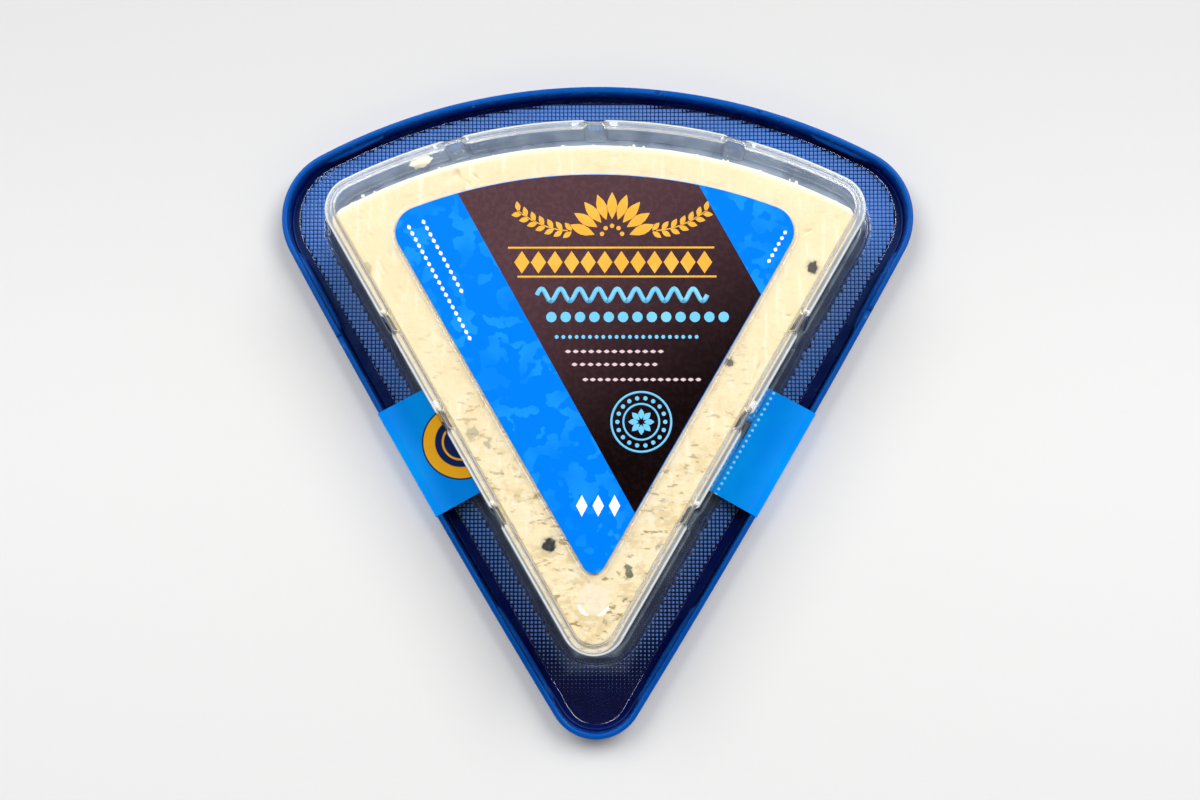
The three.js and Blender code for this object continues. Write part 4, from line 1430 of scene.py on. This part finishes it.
def ink(name, hex_colour, cloud_colour, cloud_size=6.0, cloud_share=0.5, roughness=0.28, tint="#FFFFFF"):
    """Flexo ink on film: even colour with faint clouds, and a satin surface."""
    made, tree, output = new_material(name)
    place = millimetres(tree)
    strength_noise = add(tree, "ShaderNodeTexNoise", {"Vector": place, "Scale": 1 / (3 * cloud_size)})
    strength = add(tree, "ShaderNodeMapRange", {
        "Value": strength_noise, "From Min": 0.35, "From Max": 0.65, "To Min": 0.25, "To Max": 1.0,
    }, interpolation_type="SMOOTHSTEP")
    clouds_noise = add(tree, "ShaderNodeTexNoise", {
        "Vector": place, "Scale": 1 / cloud_size, "Detail": 1.5, "Roughness": 0.5,
    })
    clouds = add(tree, "ShaderNodeMapRange", {
        "Value": clouds_noise, "From Min": 0.53, "From Max": 0.56, "To Min": 0, "To Max": cloud_share,
    }, interpolation_type="SMOOTHSTEP")
    share = add(tree, "ShaderNodeMath", {0: clouds, 1: strength}, operation="MULTIPLY")
    tone = add(tree, "ShaderNodeMix", {
        0: share, 6: linear(hex_colour), 7: linear(cloud_colour),
    }, data_type="RGBA")
    relief_noise = add(tree, "ShaderNodeTexNoise", {"Vector": place, "Scale": 1 / 1.5})
    relief = add(tree, "ShaderNodeBump", {"Height": relief_noise, "Distance": 0.01 * MM, "Strength": 0.3})
    surface = add(tree, "ShaderNodeBsdfPrincipled", {
        "Base Color": tone,
        "Roughness": roughness,
        "IOR": 1.5,
        "Specular IOR Level": 0.17,
        "Specular Tint": linear(tint),
        "Normal": relief,
    })
    tree.links.new(surface.outputs[0], output.inputs["Surface"])
    return made


blue_ink = ink("print_bright_blue", "#0078EC", "#1C94FF", cloud_size=2.8, cloud_share=0.7, tint="#6FA4FF")
gold_ink = ink("print_gold", "#E9AC3D", "#F2BC52")
light_blue_ink = ink("print_light_blue", "#6FC3F0", "#8AD2F6")
white_ink = ink("print_white", "#F4F6FA", "#FFFFFF")
pink_ink = ink("print_pale_pink", "#D9BFC6", "#E6CFD4")

# %% Dark brown with a painted reflection: plum at the top left, nearly black at the lower right


def brown_field_ink():
    """The same satin ink, dark over a fine grain, with a painted reflection that turns it plum at the top
    left.
    """
    made, tree, output = new_material("print_dark_brown")
    place = millimetres(tree)
    parts = add(tree, "ShaderNodeSeparateXYZ", {0: place}).outputs
    rightwards = add(tree, "ShaderNodeMath", {0: parts["X"], 1: 0.7}, operation="MULTIPLY")
    down = add(tree, "ShaderNodeMath", {0: rightwards, 1: parts["Y"]}, operation="SUBTRACT")
    # Painted reflection: a veil of the lamps lightens the ink towards the top left, as plum.
    out_of_painted_veil = add(tree, "ShaderNodeMapRange", {
        "Value": down, "From Min": -42, "From Max": 16,
    }, interpolation_type="SMOOTHSTEP")
    fine_noise = add(tree, "ShaderNodeTexNoise", {
        "Vector": place, "Scale": 1 / 0.9, "Detail": 3, "Roughness": 0.6,
    })
    fine = add(tree, "ShaderNodeMapRange", {
        "Value": fine_noise, "From Min": 0.45, "From Max": 0.6, "To Min": 0, "To Max": 0.5,
    }, interpolation_type="SMOOTHSTEP")
    ground = add(tree, "ShaderNodeMix", {
        0: out_of_painted_veil, 6: linear("#4F353B"), 7: linear("#0C0304"),
    }, data_type="RGBA")
    fleck_colour = add(tree, "ShaderNodeMix", {
        0: out_of_painted_veil, 6: linear("#5A4147"), 7: linear("#1A0C0F"),
    }, data_type="RGBA")
    flecked = add(tree, "ShaderNodeMix", {0: fine, 6: ground, 7: fleck_colour}, data_type="RGBA")
    surface = add(tree, "ShaderNodeBsdfPrincipled", {
        "Base Color": flecked,
        "Roughness": 0.22,
        "IOR": 1.5,
        "Specular IOR Level": 0.12,
    })
    tree.links.new(surface.outputs[0], output.inputs["Surface"])
    return made


brown_ink = brown_field_ink()

# %% Label plate and its slanted brown field
LABEL_BOTTOM = 26.45
LABEL_TOP = 26.7
INK_STEP = 0.012
FIELD_LEFT = ((-25.31, 90.79), (7.94, 30.92))  # the slanted field's edges, each through two points
FIELD_RIGHT = ((31.17, 71.27), (19.07, 92.95))
FIELD_MARGIN = 0.12  # of bare ground round the field


def clipped(polygon, start, end):
    """The part of a convex polygon that lies to the left of the line from start to end."""
    start, along = np.array(start), np.array(end) - np.array(start)

    def side_of(point):
        return along[0] * (point[1] - start[1]) - along[1] * (point[0] - start[0])

    kept = []
    for a, b in zip(polygon, np.roll(polygon, -1, axis=0)):
        side_a, side_b = side_of(a), side_of(b)
        if side_a >= 0:
            kept.append(a)
        if side_a * side_b < 0:
            kept.append(a + (b - a) * side_a / (side_a - side_b))
    return np.array(kept)


def printed(name, polygon, level, material):
    """A thin closed plate in the shape of a polygon, level inks above the label."""
    low = LABEL_TOP + INK_STEP * (level - 1)
    rings = [np.column_stack([polygon, np.full(len(polygon), z)]) for z in (low, low + INK_STEP)]
    return face_outwards(new_object(name, *loft(rings), material, smooth=False))


def make_label():
    """The plate with its blue ground, and the brown field between two slanted lines."""
    edge = outline(LABEL)
    plate_top = LABEL_TOP - INK_STEP
    profile = rounded([(-1, LABEL_BOTTOM), (0, LABEL_BOTTOM), (0, plate_top), (-1, plate_top)], 0.05)
    plate = face_outwards(new_object("label_plate", *loft(rings_of(edge, profile)), blue_ink))
    inner = edge[:, :2] - edge[:, 2:4] * FIELD_MARGIN
    field = clipped(clipped(inner, *FIELD_LEFT), *FIELD_RIGHT)
    return plate, printed("print_brown_field", field, 1, brown_ink)


label, brown_field = make_label()
print("brown field faces:", len(brown_field.data.polygons))

# %% [markdown]
# ## Ornaments
#
# The ornaments are generic: a fan of leaves with two sprigs, a band of lozenges, waves, dots, fine grains
# and a ring badge. All of them are marks or strokes that follow a path. So two node trees draw them all:
# one sets marks along a path, the other gives a path a width.

# %% Two trees: marks along a path, and a stroke along a path


def marks_tree():
    """Copies one flat mark along a path, turned with it."""
    tree, given, output = geometry_tree("marks_along_a_path", {
        "Count": "NodeSocketInt",
        "Half length": "NodeSocketFloat",
        "Half width": "NodeSocketFloat",
        "Corners": "NodeSocketInt",
        "Pointed": "NodeSocketFloat",
        "Turn": "NodeSocketFloat",
        "Thickness": "NodeSocketFloat",
        "Material": "NodeSocketMaterial",
    })
    curve = add(tree, "GeometryNodeMeshToCurve", {"Mesh": given["Geometry"]})
    even = add(tree, "GeometryNodeResampleCurve", {"Curve": curve, "Count": given["Count"]})
    disc = add(tree, "GeometryNodeMeshCylinder", {
        "Vertices": given["Corners"],
        "Radius": 1.0,
        "Depth": given["Thickness"],
    })
    position = add(tree, "GeometryNodeInputPosition")
    place = add(tree, "ShaderNodeSeparateXYZ", {0: position}).outputs
    square = add(tree, "ShaderNodeMath", {0: place["X"], 1: place["X"]}, operation="MULTIPLY")
    taken_off = add(tree, "ShaderNodeMath", {0: square, 1: given["Pointed"]}, operation="MULTIPLY")
    narrow = add(tree, "ShaderNodeMath", {0: 1.0, 1: taken_off}, operation="SUBTRACT")
    pinched_y = add(tree, "ShaderNodeMath", {0: place["Y"], 1: narrow}, operation="MULTIPLY")
    pinched = add(tree, "ShaderNodeCombineXYZ", {"X": place["X"], "Y": pinched_y, "Z": place["Z"]})
    leaf = add(tree, "GeometryNodeSetPosition", {"Geometry": disc.outputs["Mesh"], "Position": pinched})
    size = add(tree, "ShaderNodeCombineXYZ", {"X": given["Half length"], "Y": given["Half width"], "Z": 1.0})
    sized = add(tree, "GeometryNodeTransform", {"Geometry": leaf, "Scale": size})
    angle = add(tree, "ShaderNodeCombineXYZ", {"Z": given["Turn"]})
    turned = add(tree, "GeometryNodeTransform", {"Geometry": sized, "Rotation": angle})
    tangent = add(tree, "GeometryNodeInputTangent")
    facing = add(tree, "FunctionNodeAlignRotationToVector", {"Vector": tangent}, axis="X", pivot_axis="Z")
    copies = add(tree, "GeometryNodeInstanceOnPoints", {
        "Points": even,
        "Instance": turned,
        "Rotation": facing,
    })
    real = add(tree, "GeometryNodeRealizeInstances", {"Geometry": copies})
    painted = add(tree, "GeometryNodeSetMaterial", {"Geometry": real, "Material": given["Material"]})
    tree.links.new(painted.outputs[0], output.inputs[0])
    return tree


def stroke_tree():
    """Gives a path a flat rectangular section, like a drawn line."""
    tree, given, output = geometry_tree("stroke_along_a_path", {
        "Width": "NodeSocketFloat",
        "Thickness": "NodeSocketFloat",
        "Material": "NodeSocketMaterial",
    })
    curve = add(tree, "GeometryNodeMeshToCurve", {"Mesh": given["Geometry"]})
    level = add(tree, "GeometryNodeSetCurveNormal", {"Curve": curve}, mode="Z_UP")
    section = add(tree, "GeometryNodeCurvePrimitiveQuadrilateral", {
        "Width": given["Width"],
        "Height": given["Thickness"],
    })
    band = add(tree, "GeometryNodeCurveToMesh", {
        "Curve": level,
        "Profile Curve": section,
        "Fill Caps": True,
    })
    real = add(tree, "GeometryNodeRealizeInstances", {"Geometry": band})
    painted = add(tree, "GeometryNodeSetMaterial", {"Geometry": real, "Material": given["Material"]})
    tree.links.new(painted.outputs[0], output.inputs[0])
    return tree


marks_along = marks_tree()
stroke_along = stroke_tree()

# %% Paths and printed rows


def path_object(name, points, closed, z):
    """An object that is only a chain of edges at height z, for the trees to follow."""
    vertices = [(x * MM, (y + wheel_y) * MM, z * MM) for x, y in points]
    edges = [(i, i + 1) for i in range(len(vertices) - 1)]
    edges += [(len(vertices) - 1, 0)] * closed
    mesh = bpy.data.meshes.new(name)
    mesh.from_pydata(vertices, edges, [])
    made = bpy.data.objects.new(name, mesh)
    bpy.context.scene.collection.objects.link(made)
    return made


PRINT_Z = LABEL_TOP + 1.5 * INK_STEP


def marks(name, points, count, half_length, half_width, material, corners=4, pointed=0.0, turn=0.0,
          closed=False):
    """Flat marks set evenly along a path: lozenges with four corners, discs or leaves with more."""
    return run_tree(path_object(name, points, closed, PRINT_Z), marks_along, {
        "Count": count,
        "Half length": half_length * MM,
        "Half width": half_width * MM,
        "Corners": corners,
        "Pointed": pointed,
        "Turn": math.radians(turn),
        "Thickness": INK_STEP * MM,
        "Material": material,
    })


def stroke(name, points, width, material, closed=False):
    """A line of ink of one width along a path."""
    values = {"Width": width * MM, "Thickness": INK_STEP * MM, "Material": material}
    return run_tree(path_object(name, points, closed, PRINT_Z), stroke_along, values)


def bend(centre, radius, start, end, steps=48):
    """Points on an arc between two angles in degrees."""
    angles = np.radians(np.linspace(start, end, steps))
    return [(centre[0] + radius * math.cos(a), centre[1] + radius * math.sin(a)) for a in angles]


def wave(x_from, x_to, y, height, count, steps=16):
    """Points on a wave about a horizontal line."""
    x = np.linspace(x_from, x_to, count * steps + 1)
    return list(zip(x, y + height * np.sin((x - x_from) / (x_to - x_from) * 2 * math.pi * count)))


def leaves(name, points, count, half_length, half_width, material, turn=0.0, closed=False):
    """Marks with pointed ends."""
    return marks(name, points, count, half_length, half_width, material, 16, 0.75, turn, closed)


def dots(name, points, count, radius, material, closed=False):
    """Round marks."""
    return marks(name, points, count, radius, radius, material, 12, 0.0, 0.0, closed)


# %% The label's ornaments
ORNAMENT = (3.3, 82.9)  # middles of the fan and of the badge, from the wheel's centre
BADGE = (8.7, 48.4)


def sprig(side):
    """A stem with leaves on both sides of it; side is 1 for the right sprig and -1 for the left."""
    steps = np.linspace(0, 1, 14)
    stem = [(ORNAMENT[0] + side * (8.2 + 9.4 * t), ORNAMENT[1] + 1.0 + 3.4 * t * t + 0.4 * t) for t in steps]
    name = "right" if side > 0 else "left"
    upper = [(x - side * 0.1, y + 0.75) for x, y in stem]
    lower = [(x + side * 0.1, y - 0.75) for x, y in stem]
    return [
        stroke(f"print_stem_{name}", stem, 0.26, gold_ink),
        leaves(f"print_leaves_upper_{name}", upper, 7, 1.0, 0.5, gold_ink, turn=side * 42),
        leaves(f"print_leaves_lower_{name}", lower, 7, 1.0, 0.5, gold_ink, turn=-side * 42),
    ]


prints = [
    brown_field,
    leaves("print_fan", bend(ORNAMENT, 5.7, 12, 168), 9, 2.5, 0.95, gold_ink, turn=90),
    dots("print_fan_foot", bend(ORNAMENT, 1.9, 12, 168), 5, 0.42, gold_ink),
    *sprig(1),
    *sprig(-1),
    stroke("print_rule_above", [(-16.0, 80.7), (22.2, 80.7)], 0.4, gold_ink),
    stroke("print_rule_below", [(-14.2, 75.3), (22.6, 75.3)], 0.4, gold_ink),
    marks("print_lozenges", [(-13.4, 78.0), (20.4, 78.0)], 12, 1.42, 2.1, gold_ink),
    stroke("print_wave", wave(-10.6, 20.9, 71.9, 1.15, 9), 0.85, light_blue_ink),
    dots("print_large_dots", [(-7.9, 67.8), (23.9, 67.8)], 13, 0.98, light_blue_ink),
    dots("print_small_dots", [(-6.9, 64.1), (18.9, 64.1)], 22, 0.36, light_blue_ink),
    leaves("print_grains_1", [(-4.8, 61.4), (12.3, 61.4)], 13, 0.55, 0.32, pink_ink),
    leaves("print_grains_2", [(-3.6, 59.0), (11.2, 59.0)], 11, 0.55, 0.32, pink_ink),
    leaves("print_grains_3", [(-1.6, 56.2), (19.2, 56.2)], 16, 0.55, 0.32, pink_ink),
    stroke("print_badge_outer", bend(BADGE, 5.5, 0, 354, 60), 0.4, light_blue_ink, closed=True),
    stroke("print_badge_inner", bend(BADGE, 3.3, 0, 352, 45), 0.36, light_blue_ink, closed=True),
    dots("print_badge_dots", bend(BADGE, 4.4, 0, 352, 45), 18, 0.4, light_blue_ink, closed=True),
    leaves("print_badge_rosette", bend(BADGE, 1.45, 0, 352, 45), 8, 0.95, 0.55, light_blue_ink, 90, True),
    marks("print_white_lozenges", [(-2.2, 33.0), (3.8, 33.0)], 3, 1.05, 2.0, white_ink),
    leaves("print_white_grains_1", [(-34.4, 84.6), (-23.0, 63.9)], 19, 0.5, 0.36, white_ink),
    leaves("print_white_grains_2", [(-31.7, 85.6), (-24.6, 72.7)], 12, 0.5, 0.36, white_ink),
    leaves("print_white_grains_3", [(32.3, 78.2), (35.3, 83.5)], 6, 0.42, 0.36, white_ink),
]
print("printed pieces:", len(prints), "with", sum(len(p.data.polygons) for p in prints), "faces")

# %% [markdown]
# ## Wrap
#
# A strip of printed film runs from the dome's foot over the rim, down its outside and under the base to the
# other side. It was cut from a flat blank, so on both sides it is a piece of a ring about the wheel's
# centre. A loft of thin four-cornered sections along its path makes the solid.

# %% Wrap: ink with a plain roundel on the left, dots on the right
ROUNDEL = (-26.6, 46.0)  # its middle, from the wheel's centre
ROUNDEL_RINGS = ((7.5, "#0B1E5E"), (7.2, "#F6B51C"), (5.0, "#14235C"), (3.7, "#F6B51C"), (3.3, "#14235C"))
DOT_GAP = 1.2
DOTS_REACH = 2.3  # from the sector's side line
TOP_SIDE_FROM = 2.8  # the print is only on the part of the strip above this height


def wrap_ink():
    """Flexo ink on film again. The motifs are rings and dots, drawn by the distance from a middle."""
    made, tree, output = new_material("print_wrap_blue")
    place = millimetres(tree)
    place_on_wheel = from_wheel_centre(tree, place)
    z = add(tree, "ShaderNodeSeparateXYZ", {0: place}).outputs["Z"]
    above = add(tree, "ShaderNodeMath", {0: z, 1: TOP_SIDE_FROM}, operation="GREATER_THAN")
    cloud_noise = add(tree, "ShaderNodeTexNoise", {"Vector": place, "Scale": 1 / 9})
    cloud = add(tree, "ShaderNodeMapRange", {
        "Value": cloud_noise, "From Min": 0.3, "From Max": 0.7,
    }, interpolation_type="SMOOTHSTEP")
    tone = add(tree, "ShaderNodeMix", {
        0: cloud, 6: linear("#008EFF"), 7: linear("#009AFF"),
    }, data_type="RGBA")

    # Flat discs of ink about the roundel's middle, each smaller than the last, which leaves rings.
    to_middle = {0: place_on_wheel, 1: (*ROUNDEL, 0)}
    away = add(tree, "ShaderNodeVectorMath", to_middle, operation="DISTANCE")
    for radius, colour in ROUNDEL_RINGS:
        within = add(tree, "ShaderNodeMapRange", {
            "Value": away, "From Min": radius - 0.08, "From Max": radius + 0.08, "To Min": 1, "To Max": 0,
        }, interpolation_type="SMOOTHSTEP")
        inside = add(tree, "ShaderNodeMath", {0: within, 1: above}, operation="MULTIPLY")
        tone = add(tree, "ShaderNodeMix", {0: inside, 6: tone, 7: linear(colour)}, data_type="RGBA")

    # A row of dots beside the dome, only on the right. FRACT makes the same cell again at every gap.
    along = add(tree, "ShaderNodeVectorMath", {0: place_on_wheel, 1: (*ALONG, 0)}, operation="DOT_PRODUCT")
    reach = add(tree, "ShaderNodeVectorMath", {0: place_on_wheel, 1: (*OUTWARD, 0)}, operation="DOT_PRODUCT")
    gaps = add(tree, "ShaderNodeMath", {0: along, 1: DOT_GAP}, operation="DIVIDE")
    cell = add(tree, "ShaderNodeMath", {0: gaps}, operation="FRACT")
    from_middle = add(tree, "ShaderNodeMath", {0: cell, 1: 0.5}, operation="SUBTRACT")
    step_along = add(tree, "ShaderNodeMath", {0: from_middle, 1: DOT_GAP}, operation="MULTIPLY")
    step_out = add(tree, "ShaderNodeMath", {0: reach, 1: DOTS_REACH}, operation="SUBTRACT")
    steps = add(tree, "ShaderNodeCombineXYZ", {"X": step_along, "Y": step_out})
    from_dot = add(tree, "ShaderNodeVectorMath", {0: steps}, operation="LENGTH")
    round_dot = add(tree, "ShaderNodeMapRange", {
        "Value": from_dot, "From Min": 0.2, "From Max": 0.34, "To Min": 1, "To Max": 0,
    }, interpolation_type="SMOOTHSTEP")
    dot = add(tree, "ShaderNodeMath", {0: round_dot, 1: above}, operation="MULTIPLY")
    tone = add(tree, "ShaderNodeMix", {0: dot, 6: tone, 7: linear("#9ADCFF")}, data_type="RGBA")

    surface = add(tree, "ShaderNodeBsdfPrincipled", {
        "Base Color": tone,
        "Roughness": 0.32,
        "IOR": 1.5,
        "Specular IOR Level": 0.2,
        "Specular Tint": linear("#6FA4FF"),
    })
    tree.links.new(surface.outputs[0], output.inputs["Surface"])
    return made


def make_wrap():
    """The path on one side, as distance from the sector's side line and height, and then the underside."""
    edge = RIM["side"] + WRAP_CLEARANCE
    side = rounded([
        (1.62, 3.95),
        (6.0, 5.05),
        (RIM["side"] - RIM_WALL, RIM_TOP + WRAP_CLEARANCE - 0.02),
        (edge, RIM_TOP + WRAP_CLEARANCE),
        (edge, 1.75),
        (9.9, 0.7),
        (8.6, 0.65),
        (7.0, WRAP_UNDER),
    ], 0.45)
    slope = np.gradient(side, axis=0)
    slope /= np.hypot(slope[:, 0], slope[:, 1])[:, None]
    sections = []
    for (reach, z), (run, rise) in zip(side, slope):
        corners = [np.append(ALONG * a + OUTWARD * reach, z) for a in (WRAP_FROM, WRAP_TO)]
        lift = WRAP_THICKNESS * np.append(OUTWARD * -rise, run)
        sections.append(np.array([corners[0], corners[1], corners[1] + lift, corners[0] + lift]))
    for angle in np.linspace(HALF_ANGLE, -HALF_ANGLE, 41):
        direction = np.array([math.sin(angle), math.cos(angle)])
        corners = [np.append(direction * a, WRAP_UNDER) for a in (WRAP_FROM, WRAP_TO)]
        lift = np.array([0, 0, -WRAP_THICKNESS])
        sections.append(np.array([corners[0], corners[1], corners[1] + lift, corners[0] + lift]))
    mirrored = [one * np.array([-1, 1, 1]) for one in sections[: len(side)][::-1]]
    made = face_outwards(new_object("wrap_strip", *loft([*sections, *mirrored]), wrap_ink()))
    made.data.set_sharp_from_angle(angle=math.radians(35))
    return made


wrap = make_wrap()
print("wrap faces:", len(wrap.data.polygons))

# %% [markdown]
# ## Table, lamps and colours of the picture
#
# A product photo like this has a plain pale table, two softboxes behind the pack and a light room. The
# softboxes stand outside the cone that the flat panel mirrors to the camera, so the label isn't veiled. The
# world is bright at the sides, which shows in the plastic's steep walls, and dim overhead. The table is a
# touch darker at the back, where the lamps are close, so that it looks even.

# %% Table
TABLE_HALF = 3.0  # metres, so that its edges never show


def make_floor():
    """A matt painted board, a little uneven."""
    made, tree, output = new_material("matt_white_table")
    place = millimetres(tree)
    back = add(tree, "ShaderNodeSeparateXYZ", {0: place}).outputs["Y"]
    towards_back = add(tree, "ShaderNodeMapRange", {
        "Value": back, "From Min": -20, "From Max": 110,
    }, interpolation_type="SMOOTHSTEP")
    tone = add(tree, "ShaderNodeMix", {
        0: towards_back, 6: linear("#DFDFDF"), 7: linear("#CCCCCC"),
    }, data_type="RGBA")
    relief_noise = add(tree, "ShaderNodeTexNoise", {"Vector": place, "Scale": 1 / 4, "Detail": 5})
    relief = add(tree, "ShaderNodeBump", {"Height": relief_noise, "Distance": 0.1 * MM, "Strength": 0.4})
    surface = add(tree, "ShaderNodeBsdfPrincipled", {
        "Base Color": tone,
        "Roughness": 0.8,
        "Normal": relief,
    })
    tree.links.new(surface.outputs[0], output.inputs["Surface"])
    mesh = bpy.data.meshes.new("table")
    signs = ((-1, -1), (1, -1), (1, 1), (-1, 1))
    mesh.from_pydata([(x * TABLE_HALF, y * TABLE_HALF, 0) for x, y in signs], [], [(0, 1, 2, 3)])
    mesh.materials.append(made)
    floor = bpy.data.objects.new("table", mesh)
    bpy.context.scene.collection.objects.link(floor)
    return floor


floor = make_floor()

# %% Lamps and world


def area_light(name, place, size, power):
    """A round white softbox that points at the pack; place and size are in metres, power in watts."""
    data = bpy.data.lights.new(name, "AREA")
    data.shape = "DISK"
    data.size = size
    data.energy = power
    made = bpy.data.objects.new(name, data)
    made.location = place
    direction = -made.location.normalized()
    made.rotation_euler = direction.to_track_quat("-Z", "Y").to_euler()
    bpy.context.scene.collection.objects.link(made)
    return made


def add_light():
    """Two softboxes, and a world that is bright at the horizon and dim overhead."""
    area_light("softbox_right", (0.52, 0.5, 1.0), 0.8, 11.0)
    area_light("softbox_left", (-0.5, 0.52, 1.0), 0.8, 8.9)
    world = bpy.data.worlds.new("studio")
    world.use_nodes = True
    tree = world.node_tree
    background = tree.nodes["Background"]
    direction = add(tree, "ShaderNodeTexCoord").outputs["Generated"]
    height = add(tree, "ShaderNodeSeparateXYZ", {0: direction}).outputs["Z"]
    strength = add(tree, "ShaderNodeMapRange", {
        "Value": height, "From Min": 0.5, "From Max": 0.9, "To Min": 0.55, "To Max": 0.06,
    }, interpolation_type="SMOOTHSTEP")
    background.inputs["Color"].default_value = linear("#F7F7F7")
    tree.links.new(strength.outputs[0], background.inputs["Strength"])
    bpy.context.scene.world = world

    # Standard shows the colours as they are written, where a filmic transform would pale the inks.
    bpy.context.scene.view_settings.view_transform = "Standard"


add_light()

# %% [markdown]
# ## What each piece belongs to
#
# The pack has no joints, so every piece rides on the one body, root. Six pieces stand in for the six solids
# and replace them. The others are listed by the part that they are moulded with, printed on or broken off.
# The table is only a stage and isn't part of the object.

# %% Every piece rides on the one body, and each stand-in hides its solid
STAND_INS = {"lid": lid, "tray": tray, "film": film, "cheese": cheese, "label": label, "wrap": wrap}
for node, piece in STAND_INS.items():
    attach(piece, "root")
    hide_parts(node)
ADDED = {"lid": [beads], "tray": [knurl], "cheese": crumbs, "label": prints}
for slot, pieces in ADDED.items():
    for piece in pieces:
        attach(piece, "root")
print("pieces:", len(STAND_INS) + sum(map(len, ADDED.values())))
